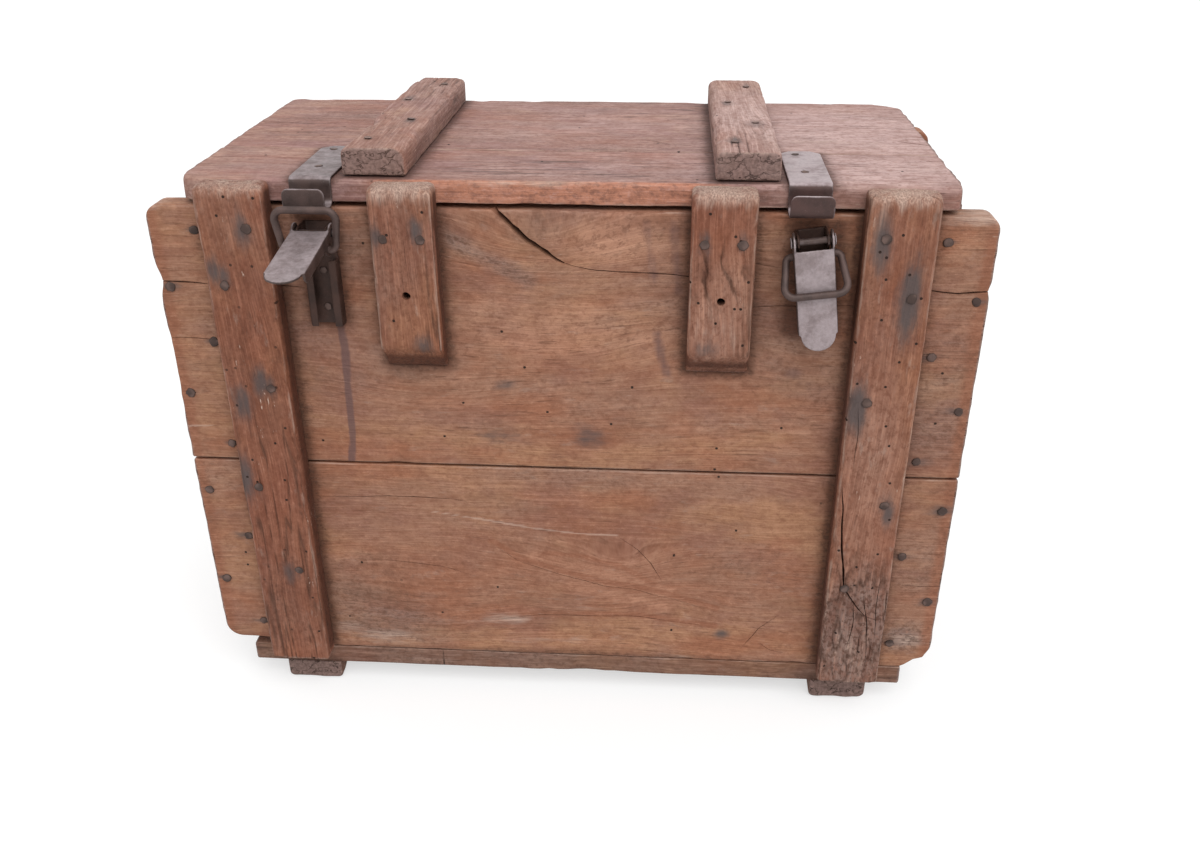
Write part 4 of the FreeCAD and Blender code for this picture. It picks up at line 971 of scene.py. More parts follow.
# What a board has where neither its kind nor the call says otherwise, in millimetres:
# steps are those across the face, along it and across the back; relief is swell, fibre and fissure.
USUAL = {"bevel": 0.0, "end_round": 1.2, "ragged": 1.0, "trim": 0.0, "notches": (), "shape": None,
         "splits": (), "bores": (), "bark": None, "marks": {}, "mark_depth": 400.0, "rims": (), "beside": (),
         "dark_ends": 1.0, "foot_dirt": 0.0, "pith": (0.0, -45.0), "bends": ()}
MARK_MASKS = ("bleach", "fade", "drip", "split", "scar", "grey", "rim")
WEAR_REACH = 3 * MM
# How far the painted shade near other pieces reaches
NEAR_SHADE_REACH = 7 * MM
RIM_FADE = 0.08
SPLIT_MARGIN = 1 * MM
SCRATCH_SHARE = 0.65
# The walls of a deep split are painted with shade: it begins at the first depth below the face and is full at
# the second.
SPLIT_SHADE_FROM = np.array((1.4, 3.0)) * MM
BARK_DEPTH = 1.5 * MM


def crack_bark(board, points, where, size, seed):
    """Sinks the crossing cracks of a barky patch into a board's face and tells where they are."""
    zone = mark_mask(points, board.on_face(where), board.on_face_size(size) * MM, 1.0)
    crossing = np.abs(drift_field(points, (24.0, 60.0, 60.0), seed + 21.0, 3))
    cracked = ease(crossing, 0.12, 0.0) * np.clip(zone * 1.6, 0.0, 1.0) * (points[:, 2] > board.thick / 2)
    points[:, 2] -= BARK_DEPTH * cracked
    return cracked


def board_masks(board, local, plan, splits, seed):
    """Where a board is worn, stained, dirty, pale with age, bleached, greyed, split and scratched, and where
    painted shade and sheen lie.
    """
    masks = {label: np.zeros(len(local)) for label in MARK_MASKS}

    def raise_mask(label, values):
        masks[label] = np.maximum(masks[label], values)

    half = board.width / 2
    from_end = np.minimum(local[:, 0], board.length - local[:, 0])
    from_side = half - np.abs(local[:, 1])
    below = board.thick - local[:, 2]
    near_face = ease(below, plan["mark_depth"] * MM, 0.0)
    gaps = np.sort(np.stack((from_end, from_side, np.minimum(local[:, 2], below)), axis=1), axis=1)
    masks["wear"] = np.exp(-np.maximum(gaps[:, 1], 0.0) / WEAR_REACH)
    masks["end"] = plan["dark_ends"] * ease(from_end, (plan["ragged"] + 1.2) * MM, plan["ragged"] * MM)
    size, strength = plan["stain"]
    masks["stain"] = nail_stains(board, local, np.array(size) * MM, strength, seed)
    # Painted shade near the pieces beside the board, on its face only
    masks["grime"] = shade_near_pieces(board.world(local), plan["beside"], NEAR_SHADE_REACH) * near_face
    # Painted shade, with dirt, on a board's edges towards its back, where it meets what it is nailed to
    low_side = ease(local[:, 2], 0.90 * board.thick, 0.45 * board.thick)
    raise_mask("grime", plan["foot_dirt"] * low_side * ease(from_end, 2 * MM, 9 * MM))
    for edge, reach, strength, (start, stop) in plan["rims"]:
        gap = {"ends": from_end, "low": local[:, 1] + half}[edge]
        share = local[:, 0] / board.length
        window = ease(share, start - RIM_FADE, start) * ease(share, stop + RIM_FADE, stop)
        raise_mask("rim", strength * window * np.exp(-(gap / (reach * MM)) ** 2))
    for label, marks in plan["marks"].items():
        for where, size, strength in marks:
            if isinstance(where[0], tuple):
                where = [board.on_face(place) for place in where]
            else:
                where = board.on_face(where)
                size = board.on_face_size(size)
            raise_mask(label, mark_mask(local, where, np.array(size) * MM, strength) * near_face)
    for label, path, width, depth in splits:
        distance = polyline_distance(local[:, :2], path)
        if label == "scratch":
            raise_mask("scar", SCRATCH_SHARE * (distance < 0.8 * width))
        else:
            # The deep part of a split is painted with shade
            within = (distance < width + SPLIT_MARGIN) & (below < depth + SPLIT_MARGIN)
            within &= from_side > 1.5 * MM
            dark = np.minimum(SPLIT_SHADE_FROM, (0.3 * MM + 0.4 * depth, 0.9 * depth))
            raise_mask("split", within * ease(below, *dark))
    # The deep part of a hole is painted with shade
    for place, radius, depth in plan["bores"]:
        near = np.hypot(local[:, 0] - place[0], local[:, 1] - place[1]) < radius * 1.1
        raise_mask("split", near * ease(below, *SPLIT_SHADE_FROM))
    return masks


def place_piece(mesh, name, node, body, finish):
    """Puts a dressed mesh in the place of a CAD node, on that node's body."""
    mesh.materials.clear()
    mesh.materials.append(material(finish))
    piece = link(bpy.data.objects.new(name, mesh))
    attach(piece, body)
    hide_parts(node)
    return piece


def lay_board(node, grain, face, body, kind, seed, **changes):
    """Builds one aged board in the place of a CAD board and gives it its masks and finish."""
    plan = {**USUAL, **kind, **changes}
    board = Board(node, grain, face)
    board.trim(plan["trim"] * MM)
    name = "aged_" + node
    dims, points, opened = board_grid(board, plan, seed)
    if plan["bark"]:
        opened = np.maximum(opened, crack_bark(board, points, *plan["bark"], seed))
    mesh = bpy.data.meshes.new(name)
    mesh.from_pydata(points.tolist(), [], tube_faces(*dims))
    mesh.update()
    # Where the fissures lie, for their painted shade
    write_mask(mesh, "groove", opened)
    splits = [(label, [board.on_face(place) for place in path], width * MM, depth * MM)
              for label, path, width, depth in plan["splits"]]
    cutters = [split_cutter(board, path, width, depth, seed + number)
               for number, (label, path, width, depth) in enumerate(splits)]
    cutters += [bore_cutter(board, *bore) for bore in plan["bores"]]
    if cutters:
        mesh = cut(mesh, cutters)
        mesh.name = name
    local = mesh_points(mesh)
    for label, values in board_masks(board, local, plan, splits, seed).items():
        write_mask(mesh, label, values)
    across_pith, depth_pith = plan["pith"]
    place = local + np.array((seed * 1.37, -across_pith * MM, -depth_pith * MM))
    for where, size, shift in plan["bends"]:
        place[:, 1] += mark_mask(local, board.on_face(where), board.on_face_size(size) * MM, shift * MM)
    write_place(mesh, place)
    set_points(mesh, board.world(local))
    mesh.shade_smooth()
    mesh.set_sharp_from_angle(angle=BOARD_CREASE)
    return place_piece(mesh, name, node, body, plan.get("finish", plan["slot"]))


# Worn copies of the fittings

def neighbour_mean(mesh, values, rounds):
    """Values spread over a mesh's neighbours, a number of times."""
    pairs = np.zeros(len(mesh.edges) * 2, np.int32)
    mesh.edges.foreach_get("vertices", pairs)
    pairs = pairs.reshape(-1, 2)
    counts = np.bincount(pairs.ravel(), minlength=len(mesh.vertices)).astype(float)
    counts = np.maximum(counts, 1.0)
    shape = (-1, 1) if values.ndim > 1 else (-1,)
    for _ in range(rounds):
        total = np.zeros_like(values)
        np.add.at(total, pairs[:, 0], values[pairs[:, 1]])
        np.add.at(total, pairs[:, 1], values[pairs[:, 0]])
        values = 0.5 * values + 0.5 * total / counts.reshape(shape)
    return values


# How strongly the bulges of a fitting are worn bright, and its hollows darkened with dirt and painted shade
BULGE_RUB = 3.2
HOLLOW_DIRT_AND_SHADE = 3.0


def worn_copy(node, body, slot, voxel, dent, finish=None, smooth=3, seed=1.0, sheen_axis=None, rub_and_sheen=0.85,
              gain=1.0):
    """A CAD fitting with softened edges, dents, and masks of where it is worn bright, with a painted sheen on
    the faces turned one way, and where dirt and painted shade sit.
    """
    name = "worn_" + node
    source = link(bpy.data.objects.new("worn_source", welded_copy(node, 0.01 * MM)))
    remesh = source.modifiers.new("even", "REMESH")
    remesh.mode = "VOXEL"
    remesh.voxel_size = voxel
    bpy.context.view_layer.update()
    mesh = evaluated_copy(source)
    mesh.name = name
    bpy.data.objects.remove(source)
    points = neighbour_mean(mesh, mesh_points(mesh), smooth)
    set_points(mesh, points)
    normals = np.zeros(len(points) * 3, np.float32)
    mesh.vertices.foreach_get("normal", normals)
    normals = normals.reshape(-1, 3).astype(float)
    centre = points.mean(axis=0)
    slow = drift_field(points - centre, (70.0, 70.0, 70.0), seed, 2)
    quick = drift_field(points - centre, (320.0, 320.0, 320.0), seed + 3, 2)
    points = points - normals * (dent * (0.5 + 0.5 * slow + 0.35 * quick))[:, None]
    set_points(mesh, points)
    bulge = ((points - neighbour_mean(mesh, points, 6)) * normals).sum(axis=1) / voxel
    bulge = neighbour_mean(mesh, bulge, 3)
    wear = np.clip(bulge * BULGE_RUB * gain, 0.0, 1.0)
    # Faces turned a given way get a painted sheen, up to a cap
    if sheen_axis is not None:
        wear = np.maximum(wear, np.clip((normals @ np.array(sheen_axis)) * 1.6 - 0.5, 0.0, rub_and_sheen))
    write_mask(mesh, "wear", wear)
    # Dirt and painted shade in the hollows
    write_mask(mesh, "grime", np.clip(-bulge * HOLLOW_DIRT_AND_SHADE, 0.0, 1.0))
    write_place(mesh, points - centre + np.array((seed, seed * 0.5, 0.0)))
    mesh.shade_smooth()
    return place_piece(mesh, name, node, body, finish or slot)


# A nail has a crown point, six rings of points and a tip; the rings at its rim are darkened with painted
# shade.
HEAD_SIDES = 14
HEAD_POINTS = 2 + 6 * HEAD_SIDES
HEAD_RIM = (1 + 2 * HEAD_SIDES, 1 + 5 * HEAD_SIDES)
# The wood lies this far below the top of a CAD nail's head.
HEAD_HEIGHT = 1.5 * MM


def hammered_head(corners, faces, seat, draw, rise, width):
    """Adds one nail: an uneven hammered head, a collar and a shank that tapers to a point."""
    out = Vector(seat["out"])
    side = Z_WAY if abs(out.z) < 0.9 else X_WAY
    first = out.cross(side).normalized()
    second = out.cross(first)
    lean = (first * draw.uniform(-0.10, 0.10)) + (second * draw.uniform(-0.10, 0.10))
    base = Vector(seat["top"]) - out * HEAD_HEIGHT
    sides = HEAD_SIDES
    turn = draw.uniform(0, math.pi)
    wobble = [draw.uniform(0.86, 1.08) for _ in range(sides)]
    radius = width / 2
    # Rings from the crown outward and down the shank: share of the radius and height over the wood.
    rings = ((0.42, rise), (0.78, rise * 0.86), (0.97, rise * 0.52), (1.0, rise * 0.16), (0.9, -0.25 * MM),
             (0.36, -0.9 * MM))
    start = len(corners)
    corners.append(tuple(base + out * (rise * 1.04)))
    for share, height in rings:
        for step in range(sides):
            angle = turn + 2 * math.pi * step / sides
            reach = radius * share * (wobble[step] if share > 0.5 else 1.0)
            flat = first * math.cos(angle) * reach + second * math.sin(angle) * reach
            tilt = out * flat.dot(lean) if height > 0 else Vector()
            dent = out * (draw.uniform(-0.06, 0.06) * MM if share < 0.9 and height > 0 else 0.0)
            corners.append(tuple(base + flat + out * height + tilt + dent))
    tip = len(corners)
    corners.append(tuple(base - out * (seat["length"] - HEAD_HEIGHT)))
    for step in range(sides):
        following = (step + 1) % sides
        faces.append((start, start + 1 + step, start + 1 + following))
        for ring in range(len(rings) - 1):
            upper = start + 1 + ring * sides
            lower = upper + sides
            faces.append((upper + step, lower + step, lower + following, upper + following))
        lowest = start + 1 + (len(rings) - 1) * sides
        faces.append((lowest + step, tip, lowest + following))


def drive_nails(node, body, seed, rise_of, size=1.0, finish="nail_iron"):
    """All nails of one group as one piece, each with its own hammered head."""
    name = "driven_" + node
    draw = random.Random(seed)
    corners = []
    faces = []
    for seat in nail_seats(node):
        rise = rise_of(seat, draw)
        width = size * seat["width"] * draw.uniform(0.82, 0.94)
        hammered_head(corners, faces, seat, draw, rise, width)
    mesh = closed_mesh(name, corners, faces)
    points = mesh_points(mesh)
    spots = np.array([noise.noise(Vector(point) * 160.0) for point in points])
    rim = np.tile(np.isin(np.arange(HEAD_POINTS), np.arange(*HEAD_RIM)), len(points) // HEAD_POINTS)
    write_mask(mesh, "wear", np.clip(0.55 + 1.1 * spots, 0.0, 1.0))
    # Painted shade on each head's rim, and dirt in spots elsewhere
    write_mask(mesh, "grime", np.where(rim, 0.9, np.clip(0.2 - spots, 0.0, 0.6)))
    write_place(mesh, points + np.array((seed, 0.0, 0.0)))
    mesh.shade_smooth()
    mesh.set_sharp_from_angle(angle=HEAD_CREASE)
    return place_piece(mesh, name, node, body, finish)


# Splits are (kind, path, width, depth). Marks are listed by kind as (place or path, size, strength).
# All are in millimetres, with places given by the two coordinates of the trunk that lie in the board's face.

UPPER_SPLITS = (
    ("split", ((-60, 436), (-45, 423), (-35, 414), (-25, 405), (-14, 397), (-6, 391), (0, 388)), 5.6, 13.0),
    ("split", ((-7, 391.5), (0, 388.5), (7, 386), (19, 383.5), (39, 382), (60, 382), (88, 380), (112, 380)),
     1.3, 4.0),
    ("split", ((120, 357), (168, 359), (206, 360)), 0.9, 3.0),
    ("split", ((-304, 369.5), (-293, 369), (-281, 368), (-262, 367)), 1.8, 12.0),
    ("split", ((-216, 367), (-205, 367), (-190, 366)), 1.0, 3.0),
    ("split", ((-304, 324), (-280, 324), (-256, 323)), 0.9, 3.0),
    ("split", ((256, 373), (277, 371), (292, 372), (304, 373)), 2.0, 14.0),
    ("scratch", ((-300, 249), (-290, 249), (-279, 250)), 0.6, 0.6),
)
UPPER_MARKS = {
    "drip": ((((-167, 338), (-166, 317), (-167, 284), (-168, 249), (-171, 222)), 3.0, 1.0),
             (((67, 334), (70, 318), (75, 304)), 7.0, 0.55), (((58, 418), (61, 396), (64, 377)), 7.0, 0.47),
             (((77, 418), (79, 396), (82, 368)), 8.0, 0.49), ((168, 306), (14, 9), 0.5)),
    "fade": (((40, 402), (60, 18), 0.75), ((0, 335), (110, 30), 0.60), ((-110, 270), (60, 22), 0.30)),
    "grey": ((((-92, 412), (-68, 397), (-47, 386), (-26, 375)), 10.0, 0.62), ((282, 310), (34, 110), 0.42)),
    "grime": (((-40, 382), (20, 6), 0.45),),
    "stain": (((-47, 291), (10, 6), 0.60), ((16, 249), (15, 12), 0.72), ((-51, 246), (24, 8), 0.56)),
    "rim": (((10, 247), (40, 20), 0.7),),
    "bleach": (((290, 424), (30, 6), 0.9), ((-292, 424), (12, 6), 0.6)),
}
LOWER_SPLITS = (
    ("scratch", ((-108, 176), (-62, 169), (-26, 163), (5, 160), (38, 159)), 0.6, 0.5),
    ("split", ((38, 159), (54, 147), (66, 133), (76, 114)), 0.9, 2.0),
    ("split", ((-202, 187), (-146, 190), (-95, 189), (-73, 184)), 1.1, 2.6),
    ("split", ((-63, 147), (-42, 131), (-8, 119), (29, 109), (54, 106), (85, 98), (120, 86)), 1.0, 2.2),
    ("split", ((-77, 69), (-51, 73), (-25, 77), (16, 78), (54, 79), (86, 75), (121, 70)), 1.1, 2.4),
    ("split", ((-159, 128), (-130, 126), (-105, 123), (-77, 114)), 0.9, 2.0),
    ("split", ((143, 50), (150, 61), (157, 72), (173, 86)), 0.9, 3.0),
    ("split", ((158, 56), (167, 49), (180, 46)), 0.8, 2.6),
    ("split", ((268, 120), (285, 119), (304, 120)), 0.9, 5.0),
)
LOWER_MARKS = {
    "rim": (((-20, 120), (270, 70), 0.52), (((-20, 140), (10, 138), (40, 130), (70, 112)), 2.5, 1.05),
            (((-63, 150), (-42, 135), (-8, 123), (29, 113), (54, 110), (85, 102), (120, 90)), 3.0, 1.15),
            (((-77, 71), (-25, 79), (54, 81), (121, 72)), 3.0, 1.05)),
    "fade": ((((-30, 136), (0, 130), (40, 120), (80, 104)), 6.0, 1.15),
             (((0, 108), (40, 98), (80, 90)), 5.0, 1.0), ((35, 122), (70, 26), 0.60)),
    "grime": (((-150, 60), (90, 24), 0.40), ((-150, 95), (60, 40), 0.42), ((0, 38), (240, 5), 0.60)),
    "grey": (((278, 68), (26, 18), 0.90), ((-160, 62), (85, 36), 0.60), ((150, 130), (60, 50), 0.40)),
    "stain": (((126, 64), (8, 6), 0.85),),
    "bleach": (((280, 64), (20, 8), 0.85), ((-57, 72), (30, 8), 0.78), ((16, 86), (18, 5), 0.50),
               ((93, 39), (30, 4), 0.60), ((-160, 50), (34, 11), 0.80), ((-192, 56), (30, 12), 0.62),
               ((-104, 68), (60, 9), 0.46), ((-11, 51), (70, 8), 0.46), ((-128, 92), (50, 7), 0.40)),
}
RIGHT_BATTEN_SPLITS = (
    ("split", ((209, 222), (212, 190), (214, 166), (219, 128), (228, 114), (238, 103), (248, 99)), 2.4, 6.0),
    ("split", ((228, 114), (230, 96), (227, 70)), 1.1, 4.0),
    ("split", ((235, 122), (241, 92), (243, 58)), 1.1, 4.0),
    ("split", ((247, 150), (246, 110), (248, 80)), 0.9, 4.0),
    ("split", ((214, 290), (216, 262), (215, 236)), 0.9, 3.0),
)
UPRIGHT_MARKS = {
    "left_front_batten": {
        "stain": (((-223, 414), (7, 15), 0.9), ((-248, 384), (7, 14), 0.9), ((-227, 298), (7, 15), 0.9),
                  ((-243, 280), (8, 18), 0.9), ((-252, 213), (8, 26), 1.0), ((-228, 127), (7, 14), 0.8)),
        "rim": (((-231, 240), (60, 260), 0.62),),
        "grime": (((-236, 110), (40, 90), 0.42), ((-231, 330), (60, 120), 0.36)),
        "grey": (((-236, 90), (40, 90), 0.40),),
        "bleach": (((-230, 446), (40, 11), 0.70),),
    },
    "right_front_batten": {
        "stain": (((217, 411), (8, 24), 1.0), ((240, 372), (9, 34), 1.1), ((213, 288), (8, 26), 1.1),
                  ((245, 199), (6, 15), 0.9)),
        "bleach": (((230, 446), (40, 12), 0.80), ((230, 64), (30, 46), 0.50), ((214, 420), (6, 30), 0.7)),
        "grey": (((230, 82), (42, 72), 1.2),),
        "grime": (((226, 112), (20, 22), 0.45),),
        "fade": (((228, 235), (30, 85), 0.95),),
    },
    "left_front_block": {
        "stain": (((-129, 412), (7, 10), 0.8), ((-101, 416), (5, 12), 0.9), ((-101, 331), (9, 9), 0.8)),
        "bleach": (((-111, 446), (40, 14), 0.9),),
        "grime": (((-111, 308), (40, 11), 1.2),),
    },
    "right_front_block": {
        "stain": (((98, 414), (5, 8), 0.7), ((124, 413), (5, 8), 0.7), ((103, 332), (12, 8), 0.7)),
        "grime": (((99, 390), (9, 14), 0.7), ((111, 308), (40, 10), 0.6)),
        "bleach": (((111, 446), (40, 13), 0.9), ((113, 350), (30, 46), 0.42)),
        "fade": (((113, 352), (34, 52), 1.2),),
    },
}
LID_SPLITS = {
    "lid_front_plank": (
        ("split", ((240, -31), (262, -28), (276, -26)), 2.6, 8.0),
        ("split", ((-276, -39), (-262, -38), (-246, -37)), 2.2, 5.0),
        ("split", ((-210, -17), (-196, -16), (-176, -15)), 1.4, 2.5)),
    "lid_back_plank": (
        ("split", ((-276, 77), (-260, 75), (-232, 74)), 2.4, 6.0),
        ("split", ((204, 113), (241, 121), (276, 119)), 2.2, 6.0),
        ("split", ((246, 35), (262, 24), (276, 18)), 2.4, 6.0),
        ("split", ((48, 31), (61, 24), (74, 12)), 1.8, 3.5)),
}
# The broad paler patches towards the lid's right, and the one on its right batten, are painted sheen; the
# dark patch on the lid's left is painted shade.
LID_MARKS = {
    "lid_front_plank": {
        "bleach": (((-20, -97), (80, 5), 0.75), ((-250, -60), (40, 14), 0.45)),
        "fade": (((210, -50), (130, 70), 1.15), ((30, -50), (140, 60), 0.38)),
    },
    "lid_back_plank": {
        "bleach": (((190, 30), (60, 16), 0.5),),
        "fade": (((210, 60), (130, 110), 1.2), ((30, 80), (150, 120), 0.38)),
        "grime": (((-215, 90), (90, 110), 0.36),),
    },
    "batten": {"fade": (((145, 30), (60, 160), 1.0),)},
}
LID_END_RIM = ("ends", 2.5, 0.8, (-1, 2))

# The broken lower right corner of the front and the chip at its lower left: how far along from the
# plank's end, and how much of its edge is gone there.
BROKEN_ALONG = np.array((0.0, 5.2, 15.7, 21.0, 24.0)) * MM
BROKEN_DEPTH = np.array((21.0, 10.5, 7.3, 1.0, 0.0)) * MM
CHIP_ALONG = np.array((0.0, 30.0, 46.0, 62.0)) * MM
CHIP_DEPTH = np.array((7.0, 6.5, 5.0, 0.0)) * MM


def plank_outline(radius, upper, broken=False):
    """A wall plank's outline: two worn corners, of which one may be broken off and the other chipped."""

    def shape(board, along, pulls):
        side = "high" if upper else "low"
        from_end = board.length - along
        pulls[side] += round_off(np.minimum(along, from_end), radius * MM)
        if broken:
            gone = np.interp(from_end, BROKEN_ALONG, BROKEN_DEPTH)
            chipped = np.interp(along, CHIP_ALONG, CHIP_DEPTH)
            pulls["low"] = np.where(along > board.length / 2, gone, pulls["low"] + chipped)

    return shape


def on_both_sides(*names):
    return [f"{side}_{name}" for side, _ in SIDES for name in names]


# Operators, one for each group of pieces

class TRUNK_OT_walls(bpy.types.Operator):
    """Lays the aged planks of the front and back and the boards of the ends"""

    bl_idname = "trunk.walls"
    bl_label = "Walls"

    def execute(self, context):
        fitted = on_both_sides("front_batten", "front_block", "latch_base")
        lay_board("front_upper_plank", X_WAY, -Y_WAY, "carcase", PLANK, 2.3, shape=plank_outline(11, True),
                  edges=(1.2, 2.4, 1.0, 1.0), pith=(-150.0, -70.0), splits=UPPER_SPLITS, marks=UPPER_MARKS,
                  notches=((0, (0, 369), 9, 3.4), (0, (0, 300), 30, 1.5), (1, (0, 373), 5, 1.5)),
                  beside=fitted, bends=(((-20, 402), (62, 26), 20), ((90, 330), (60, 30), -9),
                                        ((-120, 290), (70, 26), 9)))
        lay_board("front_lower_plank", X_WAY, -Y_WAY, "carcase", PLANK, 5.1,
                  shape=plank_outline(14, False, True), edges=(1.8, 1.2, 1.0, 1.0), pith=(12.0, -30.0),
                  splits=LOWER_SPLITS, marks=LOWER_MARKS, beside=fitted,
                  bends=(((20, 126), (70, 24), 15), ((85, 96), (40, 20), -12),
                         ((45, 140), (26, 14), 8), ((-120, 90), (60, 30), 10)))
        fitted = on_both_sides("back_batten", "hinge_body_leaf")
        for name, radius, upper, seed in (("upper", 11, True, 8.2), ("lower", 14, False, 11.4)):
            lay_board(f"back_{name}_plank", -X_WAY, Y_WAY, "carcase", PLANK, seed, steps=HIDDEN_STEPS,
                      shape=plank_outline(radius, upper), pith=(40.0, -50.0), beside=fitted)
        for side, sign in SIDES:
            fitted = [f"{side}_{name}" for name in ("front_corner_cleat", "back_corner_cleat", "hand_cleat")]
            for number, name in enumerate(("lower", "upper")):
                lay_board(f"{side}_end_{name}_board", Y_WAY * sign, X_WAY * sign, "carcase", PLANK,
                          14.0 + 2 * sign + number, steps=HIDDEN_STEPS, pith=(-30.0, -60.0), beside=fitted)
        return {"FINISHED"}


class TRUNK_OT_floor(bpy.types.Operator):
    """Lays the floor boards and the runners below them"""

    bl_idname = "trunk.floor"
    bl_label = "Floor and runners"

    def execute(self, context):
        for number, name in enumerate(("front", "middle", "back")):
            lay_board(f"floor_{name}_board", X_WAY, -Z_WAY, "carcase", FLOOR, 21.0 + number,
                      pith=(20.0 * number, -40.0), beside=("left_skid", "right_skid"))
        for side, sign in SIDES:
            lay_board(f"{side}_skid", Y_WAY, -Z_WAY, "carcase", FLOOR, 26.0 + sign, steps=(2.5, 5.0, 6.0),
                      edges=(6.0, 6.0, 1.2, 1.2), end_round=2.4, pith=(0.0, -30.0))
        return {"FINISHED"}


# The empty screw hole in each lid stop
HOLE_FROM_TOP = 77.5 * MM
HOLE_RADIUS = 3 * MM
HOLE_DEPTH = 15 * MM


def batten_outline(board, along, pulls):
    """An upright's top: its face worn back and its corners rounded."""
    from_top = board.length - along
    pulls["face"] += round_off(from_top, 9 * MM)
    for side in ("low", "high"):
        pulls[side] += round_off(from_top, 5 * MM)


def stop_outline(board, along, pulls):
    """A lid stop: worn round at its top, slanted at its lower end."""
    batten_outline(board, along, pulls)
    slant = np.clip(1.0 - along / (21 * MM), 0.0, 1.0)
    pulls["face"] += slant * (board.thick - 2.0 * MM)


class TRUNK_OT_battens(bpy.types.Operator):
    """Sets up the upright battens, the lid stops and the corner cleats"""

    bl_idname = "trunk.battens"
    bl_label = "Battens, stops and cleats"

    def execute(self, context):
        for side, sign in SIDES:
            batten = f"{side}_front_batten"
            lay_board(batten, Z_WAY, -Y_WAY, "carcase", BATTEN, 31.0 + sign, shape=batten_outline, ragged=1.6,
                      splits=RIGHT_BATTEN_SPLITS if sign > 0 else (), marks=UPRIGHT_MARKS[batten],
                      bark=((228, 92), (40, 62)) if sign > 0 else None, trim=15.0 if sign > 0 else 18.0,
                      pith=(sign * 14.0, -22.0), dark_ends=0.3)
            lay_board(f"{side}_back_batten", Z_WAY, Y_WAY, "carcase", BATTEN, 36.0 + sign,
                      shape=batten_outline, steps=(1.5, 5.0, 8.0), pith=(8.0, -30.0), dark_ends=0.3)
            block = f"{side}_front_block"
            hole = (Board(block, Z_WAY, -Y_WAY).length - HOLE_FROM_TOP, 0.0)
            lay_board(block, Z_WAY, -Y_WAY, "carcase", BATTEN, 41.0 + sign, shape=stop_outline, end_round=1.6,
                      ragged=1.4, relief=(0.8, 0.26, 1.1), bores=((hole, HOLE_RADIUS, HOLE_DEPTH),),
                      marks=UPRIGHT_MARKS[block], pith=(-10.0 * sign, -26.0), dark_ends=0.4,
                      bark=((108, 388), (22, 20)) if sign > 0 else None)
            for corner in ("front", "back"):
                lay_board(f"{side}_{corner}_corner_cleat", Z_WAY, X_WAY * sign, "carcase", BATTEN,
                          46.0 + sign + len(corner), steps=(1.8, 5.0, 8.0), edges=(2.5, 2.5, 1.2, 1.2),
                          pith=(6.0, -28.0))
        return {"FINISHED"}


class TRUNK_OT_grips(bpy.types.Operator):
    """Fits the undercut carrying cleats on the ends"""

    bl_idname = "trunk.grips"
    bl_label = "Carrying cleats"

    def execute(self, context):
        for side, sign in SIDES:
            piece = worn_copy(f"{side}_hand_cleat", "carcase", "batten_wood", 1.6 * MM, 0.5 * MM, smooth=4,
                              seed=52.0 + sign)
            mesh = piece.data
            points = mesh_points(mesh)
            low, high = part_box(f"{side}_hand_cleat")
            ends = np.minimum(points[:, 1] - low.y, high.y - points[:, 1])
            # The grain runs along Y, with the pith below the cleat and to its left.
            place = points[:, (1, 2, 0)] + np.array((3.0, 0.03 - low.z, 0.02 - low.x))
            mesh.attributes["place"].data.foreach_set("vector", place.astype(np.float32).ravel())
            write_mask(mesh, "end", ends < 1.2 * MM)
            for name in (*MARK_MASKS, "stain", "groove"):
                write_mask(mesh, name, np.zeros(len(points)))
        return {"FINISHED"}


def lid_front_outline(board, along, pulls):
    """The lid's front edge: splintered and worn back along its middle, rounded at its corners."""
    depth = np.interp(along, (0.0, 0.15, 0.20, 0.28, 0.38, 0.42, 0.55), (0.8, 0.7, 2.6, 3.4, 2.6, 0.9, 0.8))
    pulls["low"] += np.abs(drift(along, 34.0, 4.4, 4)) * depth * MM
    pulls["low"] += np.maximum(round_off(along, 12 * MM), round_off(board.length - along, 7 * MM))


def lid_back_outline(board, along, pulls):
    """The lid's back edge, with its corners worn off."""
    pulls["high"] += np.maximum(round_off(along, 11 * MM), round_off(board.length - along, 26 * MM))


def lid_batten_outline(board, along, pulls):
    """A lid batten: its back end worn round."""
    from_back = board.length - along
    pulls["face"] += round_off(from_back, 7 * MM)
    for side in ("low", "high"):
        pulls[side] += np.maximum(round_off(from_back, 13 * MM), round_off(along, 3 * MM))


class TRUNK_OT_lid(bpy.types.Operator):
    """Lays the lid's planks and the battens across them"""

    bl_idname = "trunk.lid"
    bl_label = "Lid"

    def execute(self, context):
        fitted = on_both_sides("lid_batten", "hook_plate")
        for plank, seed, edges, shape, pith, rims in (
                ("lid_front_plank", 61.0, (4.4, 1.2, 1.8, 1.2), lid_front_outline, (25.0, -50.0),
                 (("low", 4.0, 1.3, (0.30, 0.66)), LID_END_RIM)),
                ("lid_back_plank", 64.0, (1.2, 4.0, 1.2, 1.8), lid_back_outline, (-35.0, -60.0),
                 (LID_END_RIM,))):
            lay_board(plank, X_WAY, Z_WAY, "lid", LID, seed, edges=edges, shape=shape, pith=pith, rims=rims,
                      splits=LID_SPLITS[plank], marks=LID_MARKS[plank], beside=fitted)
        for side, sign in SIDES:
            lay_board(f"{side}_lid_batten", Y_WAY, Z_WAY, "lid", BATTEN, 67.0 + sign,
                      finish="lid_batten_wood", edges=(5.0, 6.5 if sign < 0 else 5.0, 1.2, 1.2),
                      shape=lid_batten_outline, pith=(10.0 * sign, -25.0), marks=LID_MARKS["batten"],
                      foot_dirt=0.5, dark_ends=0.9)
        return {"FINISHED"}


